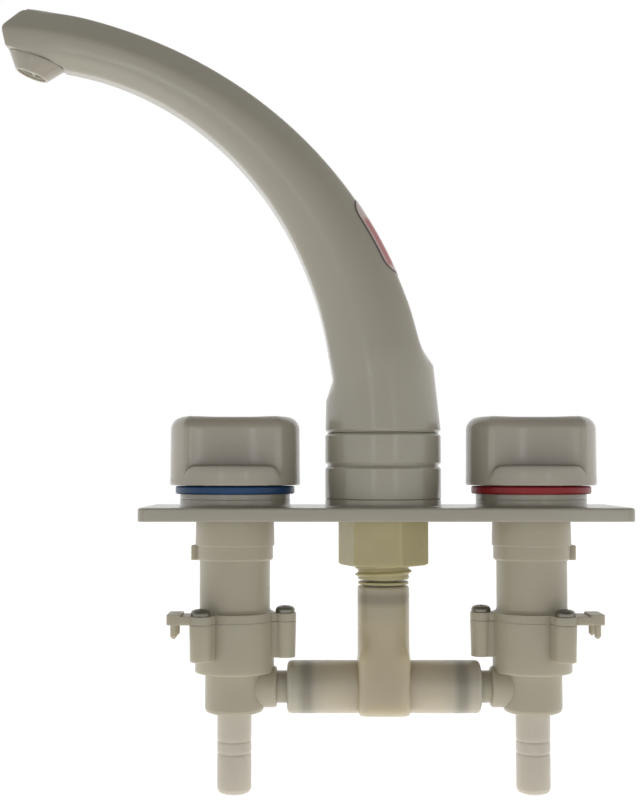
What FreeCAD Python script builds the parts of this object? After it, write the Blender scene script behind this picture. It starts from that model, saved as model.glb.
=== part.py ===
import FreeCAD, Part
import math
import os

# Deck mixer tap: two knobs and a swivel spout on one plate, valves and tee below it.
# Millimetres. The origin is where the spout's axis meets the plate's underside.
# X runs along the plate to the hot side, Y to the back, Z up.

V = FreeCAD.Vector
ORIGIN = V(0, 0, 0)
UP = V(0, 0, 1)
ACROSS = V(1, 0, 0)
BACK = V(0, 1, 0)

# Clearances
running_gap = 0.05
slip_gap = 0.2
seal_gap = 0.02

# Base plate
plate_length = 168.0
plate_depth = 50.0
plate_thickness = 4.6
plate_corner = 3.0
plate_edge = 0.8
plate_rim = 3.0
plate_skin = 2.6
plate_rib = 1.8
boss_height = 2.5
boss_flare = 0.9
valve_spacing = 105.0

# Spout collar
collar_radius = 20.5
collar_height = 23.2
collar_chamfer = 0.9
collar_groove_height = 11.8
collar_groove_width = 2.2
collar_groove_depth = 1.0
collar_ledge_height = 8.9

# Mounting stem: threaded shank, swivel post above, plug for the tee below
thread_radius = 10.1
thread_pitch = 2.5
thread_depth = 1.15
thread_run_out = 2.1
thread_below_plate = 21.0
stem_flange_radius = 15.5
stem_flange_thickness = 3.0
post_radius = 8.5
post_rise = 30.9
stem_bore = 5.5
stem_plug_bore = 3.3
neck_radius = 6.0
neck_gap = 0.9
stem_washer_thickness = 0.9
stem_washer_radius = 8.9

# Hexagonal nut
nut_across_flats = 28.0
nut_height = 16.0
nut_turn = -10.0
nut_face = 0.4
nut_chamfer = 0.6
nut_face_radius = 13.8

# Plugs and O-rings between stem, tee and valves
plug_radius = 6.75
plug_length = 10.2
plug_gap = 0.6
stem_seal_place = 3.5
valve_seal_place = 6.3
seal_section = 2.4

# Tee
tee_arm_radius = 9.2
tee_upright_radius = 9.13
tee_below_axis = 9.0
tee_passage = 4.5
tee_lip_radius = 7.5
tee_lip_height = 0.6
tee_edge = 1.4
valve_to_tee = 18.55

# Spout neck and its swivel
spout_lift = 0.3
spout_chamfer = 0.9
spout_neck_radius = 13.0
spout_neck_length = 18.1
swivel_seal_section = 1.8
swivel_seal_heights = (19.9, 25.9)
clip_thickness = 1.2
clip_radius = 15.0
clip_groove = 1.3
clip_opening = 9.0
glide_width = 2.2
glide_thickness = 1.6
spout_floor = 8.0

# Spout root, from the collar up to the sloping shoulder where the arm leaves it.
# Each place is (x, height above the plate's underside).
root_radius = 20.45
shoulder_left = (-20.2, 41.8)
shoulder_right = (18.0, 54.4)
shoulder_depth = 39.2
arm_start_left = (-17.8, 49.4)
arm_start_right = (12.7, 62.0)

# Spout arm: a horn whose sections fan about a point below the tip
fan_centre = (-140.0, 34.0)
fan_start = 9.0
fan_end = 89.0
fan_rows = (16.0, 23.0, 31.0, 39.0, 47.0, 55.0, 63.0, 71.0, 79.0, 86.0, 93.0)
cavity_rows = 9
outer_reach = (155.5, 151.7, 146.1, 150.9)
inner_reach = (122.9, 124.9, 133.5, 127.9)
arm_depth_start = 38.6
arm_depth_end = 16.6
arm_depth_ease = 1.6
arm_bevel_top = 5.6
arm_bevel_under = 4.0
side_fullness_start = 1.22
side_fullness_end = 1.6
corner_power = 18
section_points = 48
spout_wall = 2.8
tip_narrowing = 0.35

# Spout tip and nozzle. The seam is the line where the nozzle meets the tip.
tip_top = (-129.8, 183.3)
tip_front = (-136.3, 175.8)
seam_left = (-134.7, 168.9)
seam_right = (-114.5, 161.6)
tip_passage_radius = 4.0
tip_passage_height = 9.0
nozzle_depth = 14.8
nozzle_height = 5.9
outlet_radius = 6.1
nozzle_bore = 3.6
nozzle_plug_radius = 5.4
nozzle_plug_length = 5.2
nozzle_seal_section = 1.4
insert_radius = 5.2
insert_depth = 3.4
insert_thickness = 2.6
insert_rim = 0.8
insert_bar = 0.9

# Label on the outer side of the spout
label_length = 31.5
label_width = 15.0
label_corner = 7.0
label_thickness = 0.25
label_place = 25.5
label_spread = 25.0
label_turn = 23.0

# Knobs
knob_gap = 0.35
knob_height = 24.1
knob_radius = 23.0
knob_draft = 0.2
knob_corner = 4.6
knob_dish = 0.4
knob_wall = 2.2
knob_skirt = 6.7
knob_skirt_corner = 3.8
grip_half_chord = 16.3
grip_radius = 48.0
knob_boss_radius = 6.2
knob_web = 2.0
cap_radius = 5.0
cap_thickness = 1.3
knob_screw_head = 2.9
knob_screw_head_height = 1.9
knob_screw_radius = 1.5
knob_screw_length = 12.0

# Colour rings, and the clamp nuts under them
index_radius = 21.05
index_height = 2.7
index_edge = 0.4
clamp_radius = 19.45
clamp_thickness = 1.9
clamp_hub_radius = 16.0
clamp_hub_height = 2.4

# Valve bodies
valve_neck_radius = 11.0
valve_neck_height = 12.4
shoulder_radius = 13.95
shoulder_height = 9.2
band_radius = 13.45
band_height = 5.2
band_chamfer = 0.6
lug_radius = 15.3
lug_width = 6.0
lug_height = 5.1
barrel_radius = 12.4
barrel_length = 18.2
barrel_foot = 1.3
flange_radius = 13.9
flange_thickness = 2.9
ear_circle = 18.0
ear_radius = 3.85
ear_web = 5.8
cold_ear_turn = -6.8
hot_ear_turn = 0.2
hex_across_flats = 16.2
spigot_radius = 10.6
spigot_length = 3.0

# Switch brackets
arm_reach = 22.3
arm_root = 12.0
arm_middle = 10.8
arm_depth = 12.0
arm_rise = 0.7
arm_rise_length = 5.0
peg_spacing = 9.5
peg_inset = 2.4
peg_radius = 1.15
peg_length = 4.7
peg_point = 0.9

# Lower housings
housing_height = 17.8
ear_bottom = 12.6
ear_taper = 0.3
cup_radius = 10.35
cup_height = 14.2
cup_edge = 1.5
cup_floor = 2.1
wide_chamber_radius = 9.9
wide_chamber_floor = 3.0
chamber_radius = 8.05
outlet_rise = 8.7
boss_radius = 7.15
boss_reach = 14.9
boss_edge = 0.6
spigot_neck_radius = 5.6
outlet_bore = 3.2
face_seal_radius = 12.2
face_seal_section = 1.5

# Housing screws
screw_head_radius = 3.4
screw_head_height = 2.3
screw_radius = 1.5
screw_length = 13.4
screw_slot = 0.9
screw_slot_depth = 1.2

# Inlet tails
tail_radius = 6.0
tail_bore = 3.75
tail_length = 28.1
tail_round = 1.8
tail_groove_depth = 0.3
tail_groove_width = 1.3
tail_groove_places = (9.8, 14.1)
tail_head_thickness = 3.4
seat_radius = 4.9
seat_height = 5.0
seat_round = 0.4
inlet_seal_section = 1.7

# Spindles, jumpers and washers
spindle_radius = 5.0
spindle_flange_radius = 7.0
spindle_flange_thickness = 2.0
spindle_flange_depth = 6.0
spindle_square = 5.6
spindle_square_length = 15.4
spindle_shoulder_gap = 0.75
spindle_seal_section = 1.3
spindle_seal_depths = (4.4, 10.4)
spindle_screw_radius = 3.0
spindle_screw_length = 17.5
spindle_clip_radius = 7.6
spindle_clip_thickness = 0.8
spindle_clip_groove = 1.0
jumper_gap_above = 4.0
jumper_guide_length = 18.0
jumper_guide_chamfer = 1.0
jumper_screw_room = 3.5
jumper_stem_radius = 4.5
holder_radius = 7.3
holder_height = 3.8
washer_radius = 6.4
washer_thickness = 2.4
washer_recess = 1.2

# Heights worked out from the sizes above
boss_top = plate_thickness + boss_height
collar_top = boss_top + collar_height
post_top = boss_top + post_rise
spout_bottom = collar_top + spout_lift
glide_seat = spout_bottom - seal_gap - glide_thickness
clip_low = boss_top + collar_ledge_height - seal_gap - clip_thickness
clamp_top = boss_top + clamp_thickness
index_bottom = clamp_top + seal_gap
knob_bottom = index_bottom + index_height + knob_gap
knob_top = knob_bottom + knob_height
band_top = -shoulder_height
barrel_top = band_top - band_height
flange_top = barrel_top - barrel_length
joint_level = flange_top - flange_thickness
cup_top = joint_level - housing_height
cup_bottom = cup_top - cup_height
outlet_level = cup_bottom + outlet_rise
tail_seat = cup_bottom + cup_floor
seat_top = tail_seat + tail_head_thickness + seat_height
washer_low = seat_top + seal_gap
holder_low = washer_low + washer_thickness - washer_recess
spindle_flange_top = -spindle_flange_depth - running_gap
spindle_flange_low = spindle_flange_top - spindle_flange_thickness
spindle_square_low = valve_neck_height + running_gap + spindle_clip_thickness + spindle_shoulder_gap
spindle_top = spindle_square_low + spindle_square_length
jumper_top = spindle_flange_low - jumper_gap_above
knob_screw_seat = spindle_top + seal_gap + knob_web
cap_top = knob_top - knob_dish
cap_seat = cap_top - cap_thickness
tee_top = -(thread_below_plate + neck_gap + stem_washer_thickness + tee_lip_height)
tee_half_length = valve_spacing / 2 - valve_to_tee
socket_radius = plug_radius + running_gap
socket_depth = plug_gap + plug_length + plug_gap


def disc(radius, low, high):
    """Round bar on the Z axis."""
    return Part.makeCylinder(radius, high - low, V(0, 0, low))


def tube(outer, inner, low, high):
    """Round tube on the Z axis."""
    return disc(outer, low, high).cut(disc(inner, low, high))


def block(x_low, x_high, y_low, y_high, low, high):
    """Box between two corners."""
    return Part.makeBox(x_high - x_low, y_high - y_low, high - low, V(x_low, y_low, low))


def lathe(profile):
    """Solid turned about the Z axis from its half outline, given as (radius, height) points."""
    points = [V(radius, 0, height) for radius, height in profile]
    return Part.Face(Part.makePolygon(points + points[:1])).revolve(ORIGIN, UP, 360)


def prism(outline, depth):
    """Solid from an outline of (x, z) points, reaching the same depth to the front and to the back."""
    points = [V(x, -depth, z) for x, z in outline]
    return Part.Face(Part.makePolygon(points + points[:1])).extrude(BACK * (2 * depth))


def hexagon(across_flats, low, high, turn=0.0):
    """Hexagonal bar on the Z axis."""
    corner = across_flats / math.sqrt(3)
    angles = [math.radians(turn + 60 * k) for k in range(6)]
    points = [V(corner * math.cos(a), corner * math.sin(a), low) for a in angles]
    return Part.Face(Part.makePolygon(points + points[:1])).extrude(UP * (high - low))


def rounded_block(x_size, y_size, corner, low, high):
    """Box about the Z axis with rounded upright edges."""
    box = block(-x_size / 2, x_size / 2, -y_size / 2, y_size / 2, low, high)
    uprights = [edge for edge in box.Edges if edge.BoundBox.ZLength > 0.9 * (high - low)]
    return box.makeFillet(corner, uprights)


def level_edges(shape, height):
    """Edges that lie at one height."""
    found = []
    for edge in shape.Edges:
        box = edge.BoundBox
        if abs(box.ZMin - height) < 1e-4 and abs(box.ZMax - height) < 1e-4:
            found.append(edge)
    return found


def seal_ring(bore, section, middle):
    """O-ring on the Z axis that fills its groove out to a bore."""
    return Part.makeTorus(bore - section / 2, section / 2 - seal_gap, V(0, 0, middle))


def seal_groove(bore, section, middle):
    """Room for such an O-ring, to be cut from the piece that carries it."""
    half = section / 2 + seal_gap
    return tube(bore + section, bore - section, middle - half, middle + half)


def on_side(shape, side):
    """Put a piece made for the cold side, with its outer side at -X, on the cold (-1) or hot (1) axis."""
    placed = shape.copy() if side < 0 else shape.mirror(ORIGIN, ACROSS)
    placed.translate(ACROSS * (side * valve_spacing / 2))
    return placed


def along_x(shape, start, height):
    """Lay a piece made on the Z axis along +X, with its z = 0 at x = start."""
    laid = shape.copy()
    laid.rotate(ORIGIN, BACK, 90)
    laid.translate(V(start, 0, height))
    return laid


def polar(radius, degrees):
    return radius * math.cos(math.radians(degrees)), radius * math.sin(math.radians(degrees))


# Base plate


def base_plate():
    plate = rounded_block(plate_length, plate_depth, plate_corner, 0, plate_thickness)
    plate = plate.makeFillet(plate_edge, level_edges(plate, plate_thickness))
    hollow_top = plate_thickness - plate_skin
    inner_length = plate_length - 2 * plate_rim
    inner_depth = plate_depth - 2 * plate_rim
    hollow = rounded_block(inner_length, inner_depth, plate_corner, 0, hollow_top)
    half = plate_rib / 2
    hollow = hollow.cut(block(-plate_length / 2, plate_length / 2, -half, half, 0, hollow_top))
    for side in (-1, 1):
        middle = side * valve_spacing / 4
        hollow = hollow.cut(block(middle - half, middle + half, -plate_depth, plate_depth, 0, hollow_top))
    places = [(0, collar_radius, thread_radius + slip_gap)]
    for side in (-1, 1):
        places.append((side * valve_spacing / 2, clamp_radius, valve_neck_radius + slip_gap))
    for x, radius, hole in places:
        land = disc(radius, 0, hollow_top)
        land.translate(ACROSS * x)
        hollow = hollow.cut(land)
    plate = plate.cut(hollow)
    for x, radius, hole in places:
        foot = radius + boss_flare
        sunk = plate_thickness - plate_skin / 2
        outline = [(0, sunk), (foot, sunk), (foot, plate_thickness), (radius, plate_thickness + boss_flare)]
        boss = lathe(outline + [(radius, boss_top), (0, boss_top)])
        bore = disc(hole, 0, boss_top)
        boss.translate(ACROSS * x)
        bore.translate(ACROSS * x)
        plate = plate.fuse(boss).cut(bore)
    return plate.removeSplitter()


# Stem, nut, washer and collar


def thread_side(radius, low, high):
    """Side of a threaded rod from the top down, as ridges one pitch apart."""
    core = radius - thread_depth
    flat = 0.06 * thread_pitch
    crest = low + thread_run_out
    points = [(core, low), (core, crest - thread_pitch / 2)]
    while crest + thread_pitch < high:
        points += [(radius, crest - flat), (radius, crest + flat), (core, crest + thread_pitch / 2)]
        crest += thread_pitch
    points += [(radius, crest - flat), (radius, high)]
    return points[::-1]


def mounting_stem():
    flange_top_level = boss_top + stem_flange_thickness
    thread_end = -thread_below_plate
    plug_start = tee_top - plug_gap
    plug_end = plug_start - plug_length
    outline = [(stem_plug_bore, plug_end), (stem_plug_bore, thread_end), (stem_bore, thread_end + stem_bore)]
    outline += [(stem_bore, post_top), (post_radius - 1, post_top), (post_radius, post_top - 1)]
    outline += [(post_radius, flange_top_level), (stem_flange_radius, flange_top_level)]
    outline += [(stem_flange_radius, boss_top), (thread_radius, boss_top)]
    outline += thread_side(thread_radius, thread_end, 0)
    outline += [(neck_radius, thread_end), (neck_radius, plug_start), (plug_radius, plug_start)]
    outline += [(plug_radius, plug_end + 0.8), (plug_radius - 0.8, plug_end)]
    stem = lathe(outline).cut(seal_groove(socket_radius, seal_section, plug_start - stem_seal_place))
    for rise in swivel_seal_heights:
        stem = stem.cut(seal_groove(post_radius + running_gap, swivel_seal_section, boss_top + rise))
    return stem


def swivel_orings():
    bore = post_radius + running_gap
    return [seal_ring(bore, swivel_seal_section, boss_top + rise) for rise in swivel_seal_heights]


def stem_nut():
    corner = nut_across_flats / math.sqrt(3)
    flat = nut_across_flats / 2
    outline = [(0, -nut_height), (flat, -nut_height), (corner, -nut_height + nut_chamfer), (corner, -nut_face)]
    trim = lathe(outline + [(nut_face_radius, -nut_face), (nut_face_radius, 0), (0, 0)])
    nut = hexagon(nut_across_flats, -nut_height, 0, nut_turn).common(trim)
    return nut.cut(disc(thread_radius + seal_gap, -nut_height, 0))


def stem_washer():
    top = -(thread_below_plate + neck_gap)
    return tube(stem_washer_radius, socket_radius, top - stem_washer_thickness, top)


def spout_collar():
    groove = boss_top + collar_groove_height
    ledge = boss_top + collar_ledge_height
    half = collar_groove_width / 2
    floor = collar_radius - collar_groove_depth
    lower_bore = stem_flange_radius + running_gap
    neck_bore = spout_neck_radius + slip_gap
    glide_room = neck_bore + glide_width + slip_gap
    outline = [(lower_bore, boss_top), (collar_radius, boss_top), (collar_radius, groove - half)]
    outline += [(floor, groove), (collar_radius, groove + half), (collar_radius, collar_top - collar_chamfer)]
    outline += [(collar_radius - collar_chamfer, collar_top), (glide_room, collar_top)]
    outline += [(glide_room, glide_seat), (neck_bore, glide_seat), (neck_bore, ledge), (lower_bore, ledge)]
    return lathe(outline)


def spout_glide_ring():
    inner = spout_neck_radius + slip_gap
    return tube(inner + glide_width, inner, glide_seat, glide_seat + glide_thickness)


def spout_clip():
    """Split ring in the neck's groove, under the collar's ledge."""
    ring = tube(clip_radius, spout_neck_radius - clip_groove + seal_gap, clip_low, clip_low + clip_thickness)
    half = clip_opening / 2
    return ring.cut(block(-half, half, 0, clip_radius, clip_low, clip_low + clip_thickness))


# Spout


def cubic(values, t):
    a, b, c, d = values
    return a * (1 - t) ** 3 + 3 * b * (1 - t) ** 2 * t + 3 * c * (1 - t) * t ** 2 + d * t ** 3


def fan_point(reach, degrees):
    x, z = polar(reach, degrees)
    return V(fan_centre[0] + x, 0, fan_centre[1] + z)


def skin_distance(angle, half_height, half_depth, fullness, bevels):
    """Distance from a section's middle to its skin: an oval trimmed by two flats and by bevels."""
    along, aside = math.cos(angle), abs(math.sin(angle))
    oval = math.hypot(along / (fullness * half_height), aside / half_depth)
    bevel = bevels[0] if along > 0 else bevels[1]
    slanted = (abs(along) + aside) / (half_height + half_depth - bevel)
    flat = abs(along) / half_height
    return (oval ** corner_power + flat ** corner_power + slanted ** corner_power) ** (-1 / corner_power)


def closed_curve(points):
    """Smooth closed wire through points."""
    count = len(points)
    poles = []
    for k, point in enumerate(points):
        poles.append(point - (points[k - 1] + points[(k + 1) % count] - point * 2) * (1 / 6))
    curve = Part.BSplineCurve()
    curve.buildFromPolesMultsKnots(poles, [1] * (count + 1), list(range(count + 1)), True, 3)
    return Part.Wire(curve.toShape())


def oval_wire(right, left, depth, inset):
    """Oval section of the spout's root."""
    middle = (right + left) * 0.5
    half = (right - left) * 0.5
    reach = half * ((half.Length - inset) / half.Length)
    points = []
    for k in range(section_points):
        angle = 2 * math.pi * k / section_points
        points.append(middle + reach * math.cos(angle) + BACK * ((depth / 2 - inset) * math.sin(angle)))
    return closed_curve(points)


def arm_wire(outer, inner, depth, fullness, inset):
    """Section of the arm between an outer and an inner point of the spout's side view."""
    middle = (outer + inner) * 0.5
    half = (outer - inner) * 0.5
    half_height = half.Length - inset
    out = half * (1 / half.Length)
    bevels = (arm_bevel_top, arm_bevel_under)
    points = []
    for k in range(section_points):
        angle = 2 * math.pi * k / section_points
        reach = skin_distance(angle, half_height, depth / 2 - inset, fullness, bevels)
        points.append(middle + out * (reach * math.cos(angle)) + BACK * (reach * math.sin(angle)))
    return closed_curve(points)


def root_wires(inset, low):
    right, left = V(root_radius, 0, low), V(-root_radius, 0, low)
    shoulder = [V(x, 0, z) for x, z in (shoulder_right, shoulder_left)]
    return [oval_wire(right, left, 2 * root_radius, inset), oval_wire(*shoulder, shoulder_depth, inset)]


def arm_wires(inset, rows):
    start = [V(x, 0, z) for x, z in (arm_start_right, arm_start_left)]
    wires = [arm_wire(*start, arm_depth_start, side_fullness_start, inset)]
    for degrees in rows:
        t = (degrees - fan_start) / (fan_end - fan_start)
        fade = max(0, 1 - t) ** arm_depth_ease
        depth = arm_depth_end + (arm_depth_start - arm_depth_end) * fade
        depth -= tip_narrowing * max(0, degrees - fan_rows[-3])
        fullness = side_fullness_start + (side_fullness_end - side_fullness_start) * min(1, t)
        outer = fan_point(cubic(outer_reach, t), degrees)
        inner = fan_point(cubic(inner_reach, t), degrees)
        wires.append(arm_wire(outer, inner, depth, fullness, inset))
    return wires


def spout_shell(inset, low, rows):
    """Spout from its root to the end of its arm, at one distance inside the skin."""
    root = root_wires(inset, low)
    arm = arm_wires(inset, rows)
    shell = Part.makeLoft(root, True, True)
    shell = shell.fuse(Part.makeLoft([root[-1], arm[0]], True, True))
    return shell.fuse(Part.makeLoft(arm, True, False))


def seam_frame():
    """Middle of the seam, the way along it to the right, and the way up into the tip."""
    left, right = V(seam_left[0], 0, seam_left[1]), V(seam_right[0], 0, seam_right[1])
    along = (right - left) * (1 / (right - left).Length)
    return (left + right) * 0.5, along, V(-along.z, 0, along.x)


def on_seam(shape):
    """Put a piece made on the Z axis, with its z = 0 at the seam, on the nozzle's axis."""
    middle, along, up = seam_frame()
    placed = shape.copy()
    placed.rotate(ORIGIN, BACK, math.degrees(math.atan2(up.x, up.z)))
    placed.translate(middle)
    return placed


def tip_room():
    """Everything outside the tip's front, its bevel and its seam."""
    away = 40
    lean = (tip_top[0] - tip_front[0]) / (tip_top[1] - tip_front[1])
    beyond = (tip_top[0] + lean * away, tip_top[1] + away)
    low = (seam_right[0], seam_right[1] - away)
    corner_points = [(tip_front[0] - away, beyond[1]), (tip_front[0] - away, low[1])]
    return prism([seam_right, seam_left, tip_front, tip_top, beyond] + corner_points + [low], plate_depth)


def spout_outside():
    """Outer form of the spout with its tip cut to shape."""
    chamfer_top = spout_bottom + spout_chamfer
    rims = [root_wires(spout_chamfer, spout_bottom)[0], root_wires(0, chamfer_top)[0]]
    foot = Part.makeLoft(rims, True, True)
    return spout_shell(0, chamfer_top, fan_rows).fuse(foot).cut(tip_room())


def spout_body():
    neck_low = spout_bottom - spout_neck_length
    room_low = spout_bottom + spout_floor
    body = spout_outside()
    body = body.cut(spout_shell(spout_wall, room_low, fan_rows[:cavity_rows]))
    body = body.fuse(disc(spout_neck_radius, neck_low, spout_bottom))
    body = body.cut(disc(post_radius + running_gap, neck_low, room_low))
    groove_floor = spout_neck_radius - clip_groove
    clip_top = clip_low + clip_thickness
    body = body.cut(tube(spout_neck_radius + 1, groove_floor, clip_low - seal_gap, clip_top + seal_gap))
    middle, along, up = seam_frame()
    turn = middle + up * tip_passage_height
    way_in = fan_point((cubic(outer_reach, 1) + cubic(inner_reach, 1)) / 2, fan_rows[cavity_rows - 2])
    way = way_in - turn
    passage = Part.makeCylinder(tip_passage_radius, way.Length, turn, way)
    passage = passage.fuse(Part.makeSphere(tip_passage_radius, turn))
    passage = passage.fuse(on_seam(disc(tip_passage_radius, 0, tip_passage_height)))
    socket = on_seam(disc(nozzle_plug_radius + running_gap, 0, nozzle_plug_length + seal_gap))
    return body.cut(passage).cut(socket).removeSplitter()


def spout_nozzle():
    half_length = math.hypot(seam_right[0] - seam_left[0], seam_right[1] - seam_left[1]) / 2
    base, rim = [], []
    for k in range(section_points):
        angle = 2 * math.pi * k / section_points
        base.append(V(half_length * math.cos(angle), nozzle_depth / 2 * math.sin(angle), -seal_gap))
        rim.append(V(outlet_radius * math.cos(angle), outlet_radius * math.sin(angle), -nozzle_height))
    nozzle = Part.makeLoft([closed_curve(base), closed_curve(rim)], True, True)
    nozzle = nozzle.fuse(disc(nozzle_plug_radius, -seal_gap, nozzle_plug_length))
    nozzle = nozzle.cut(disc(nozzle_bore, -nozzle_height, nozzle_plug_length))
    nozzle = nozzle.cut(disc(insert_radius + seal_gap, -nozzle_height, -nozzle_height + insert_depth))
    bore = nozzle_plug_radius + running_gap
    return on_seam(nozzle.cut(seal_groove(bore, nozzle_seal_section, nozzle_plug_length / 2)))


def nozzle_oring():
    bore = nozzle_plug_radius + running_gap
    return on_seam(seal_ring(bore, nozzle_seal_section, nozzle_plug_length / 2))


def nozzle_insert():
    """Ring with a cross that leaves four openings."""
    top = -nozzle_height + insert_depth
    low = top - insert_thickness
    inside = insert_radius - insert_rim
    half = insert_bar / 2
    cross = block(-inside, inside, -half, half, low, top).fuse(block(-half, half, -inside, inside, low, top))
    insert = tube(insert_radius, inside, low, top).fuse(cross.common(disc(inside, low, top)))
    insert.rotate(ORIGIN, UP, 45)
    return on_seam(insert.removeSplitter())


def blank_label():
    """Thin plain label laid on the spout's outer side."""
    rows = [row for row in fan_rows if abs(row - label_place) < label_spread]
    thick = Part.makeLoft(arm_wires(-label_thickness, rows)[1:], True, False)
    t = (label_place - fan_start) / (fan_end - fan_start)
    outer = fan_point(cubic(outer_reach, t), label_place)
    inner = fan_point(cubic(inner_reach, t), label_place)
    stamp = rounded_block(label_width, label_length, label_corner, 0, (outer - inner).Length)
    stamp.rotate(ORIGIN, UP, 90)
    stamp.rotate(ORIGIN, ACROSS, label_turn)
    stamp.rotate(ORIGIN, BACK, 90 - label_place)
    stamp.translate((outer + inner) * 0.5)
    return stamp.common(thick).cut(spout_outside())


# Knobs and what holds them


def grip_room(inset):
    """What the finger grips take from a knob's sides, above its skirt."""
    far = math.sqrt(grip_radius ** 2 - grip_half_chord ** 2)
    reach = math.sqrt(knob_radius ** 2 - grip_half_chord ** 2) + far
    shelf = knob_bottom + knob_skirt - inset
    skirt = block(-grip_half_chord, grip_half_chord, -reach, reach, knob_bottom - 1, shelf)
    corners = [edge for edge in level_edges(skirt, shelf) if edge.BoundBox.YLength > reach]
    skirt = skirt.makeFillet(knob_skirt_corner, corners)
    room = disc(grip_radius + inset, knob_bottom - 1, knob_top + 1)
    front, back = room.copy(), room.copy()
    front.translate(BACK * -reach)
    back.translate(BACK * reach)
    return front.fuse(back).cut(skirt)


def knob():
    top_radius = knob_radius - knob_draft
    body = Part.makeCone(knob_radius, top_radius, knob_height, V(0, 0, knob_bottom)).cut(grip_room(0))
    body = body.makeFillet(knob_corner, level_edges(body, knob_top))
    roof = knob_top - knob_dish - knob_wall
    inner_radius = top_radius - knob_wall
    boss_low = spindle_square_low + running_gap
    hollow = disc(inner_radius, knob_bottom, roof).cut(grip_room(knob_wall))
    hollow = hollow.cut(disc(knob_boss_radius, boss_low, roof))
    body = body.cut(hollow)
    dish_radius = top_radius - knob_corner
    body = body.cut(lathe([(0, cap_top), (dish_radius, knob_top), (0, knob_top)]))
    side = spindle_square / 2 + seal_gap
    body = body.cut(block(-side, side, -side, side, boss_low, spindle_top + seal_gap))
    body = body.cut(disc(knob_screw_radius + slip_gap, spindle_top, knob_screw_seat))
    body = body.cut(disc(knob_screw_head + slip_gap, knob_screw_seat, cap_seat))
    return body.cut(disc(cap_radius + seal_gap, cap_seat, knob_top))


def knob_cap():
    return disc(cap_radius, cap_seat, cap_top)


def cross_slot(radius, width, low, high):
    half = width / 2
    return block(-radius, radius, -half, half, low, high).fuse(block(-half, half, -radius, radius, low, high))


def knob_screw():
    head_top = knob_screw_seat + knob_screw_head_height
    outline = [(0, knob_screw_seat - knob_screw_length), (knob_screw_radius, knob_screw_seat - knob_screw_length)]
    outline += [(knob_screw_radius, knob_screw_seat), (knob_screw_head, knob_screw_seat)]
    outline += [(knob_screw_head, head_top - 0.5), (knob_screw_head - 0.7, head_top), (0, head_top)]
    return lathe(outline).cut(cross_slot(knob_screw_head * 0.6, screw_slot, head_top - 1, head_top))


def index_ring():
    inner = clamp_hub_radius + running_gap
    top = index_bottom + index_height
    outline = [(inner, index_bottom), (index_radius - index_edge, index_bottom), (index_radius, index_bottom + index_edge)]
    outline += [(index_radius, top - index_edge), (index_radius - index_edge, top), (inner, top)]
    return lathe(outline)


def clamp_nut():
    """Nut on the valve's neck: its flange clamps the plate and its hub carries the colour ring."""
    nut = disc(clamp_radius, boss_top, clamp_top).fuse(disc(clamp_hub_radius, clamp_top, clamp_top + clamp_hub_height))
    return nut.cut(disc(valve_neck_radius + seal_gap, boss_top, clamp_top + clamp_hub_height)).removeSplitter()


# Valve bodies and lower housings


def ear_angles(turn):
    """Directions of a valve's three ears, the first of them beside its outlet."""
    return [turn - 120 * k for k in range(3)]


def ear(angle, radius, foot_radius, low, high):
    """Ear for a screw, joined to the round housing by a web."""
    x, y = polar(ear_circle, angle)
    post = lathe([(0, low), (foot_radius, low), (radius, high), (0, high)])
    post.translate(V(x, y, 0))
    web = block(0, ear_circle, -ear_web / 2, ear_web / 2, low, high)
    web.rotate(ORIGIN, UP, angle)
    return post.fuse(web)


def valve_body(ear_turn):
    foot = barrel_radius + barrel_foot
    outline = [(0, valve_neck_height), (valve_neck_radius - 0.6, valve_neck_height)]
    outline += [(valve_neck_radius, valve_neck_height - 0.6), (valve_neck_radius, 0)]
    outline += [(shoulder_radius - 0.2, 0), (shoulder_radius, band_top), (band_radius, band_top)]
    outline += [(band_radius, barrel_top + band_chamfer), (band_radius - band_chamfer, barrel_top)]
    outline += [(barrel_radius, barrel_top), (barrel_radius, flange_top + barrel_foot)]
    outline += [(barrel_radius + barrel_foot * 0.3, flange_top + barrel_foot * 0.3), (foot, flange_top)]
    outline += [(flange_radius, flange_top), (flange_radius, joint_level), (spigot_radius, joint_level)]
    outline += [(spigot_radius, joint_level - spigot_length), (0, joint_level - spigot_length)]
    body = lathe(outline)
    for angle in ear_angles(ear_turn):
        body = body.fuse(ear(angle, ear_radius, ear_radius, joint_level, flange_top))
    half = lug_width / 2
    body = body.fuse(block(-lug_radius, 0, -half, half, band_top - lug_height, band_top))
    body = body.fuse(switch_bracket())
    body = body.cut(disc(spindle_radius + running_gap, -spindle_flange_depth, valve_neck_height))
    body = body.cut(hexagon(hex_across_flats, joint_level - spigot_length, -spindle_flange_depth))
    for angle in ear_angles(ear_turn):
        x, y = polar(ear_circle, angle)
        body = body.cut(Part.makeCylinder(screw_radius + seal_gap, flange_thickness, V(x, y, joint_level)))
    return body.removeSplitter()


def switch_bracket():
    """Arm with two pegs for a small switch."""
    front, back = -arm_middle - arm_depth / 2, -arm_middle + arm_depth / 2
    arm = block(-arm_reach, -arm_root, front, back, joint_level, flange_top)
    arm = arm.fuse(block(-arm_reach, arm_rise_length - arm_reach, front, back, flange_top, flange_top + arm_rise))
    peg_outline = [(0, -peg_length), (peg_radius * 0.35, -peg_length), (peg_radius, -peg_length + peg_point)]
    for side in (-1, 1):
        peg = lathe(peg_outline + [(peg_radius, 0), (0, 0)])
        peg.translate(V(peg_inset - arm_reach, -arm_middle + side * peg_spacing / 2, joint_level))
        arm = arm.fuse(peg)
    return arm


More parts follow.
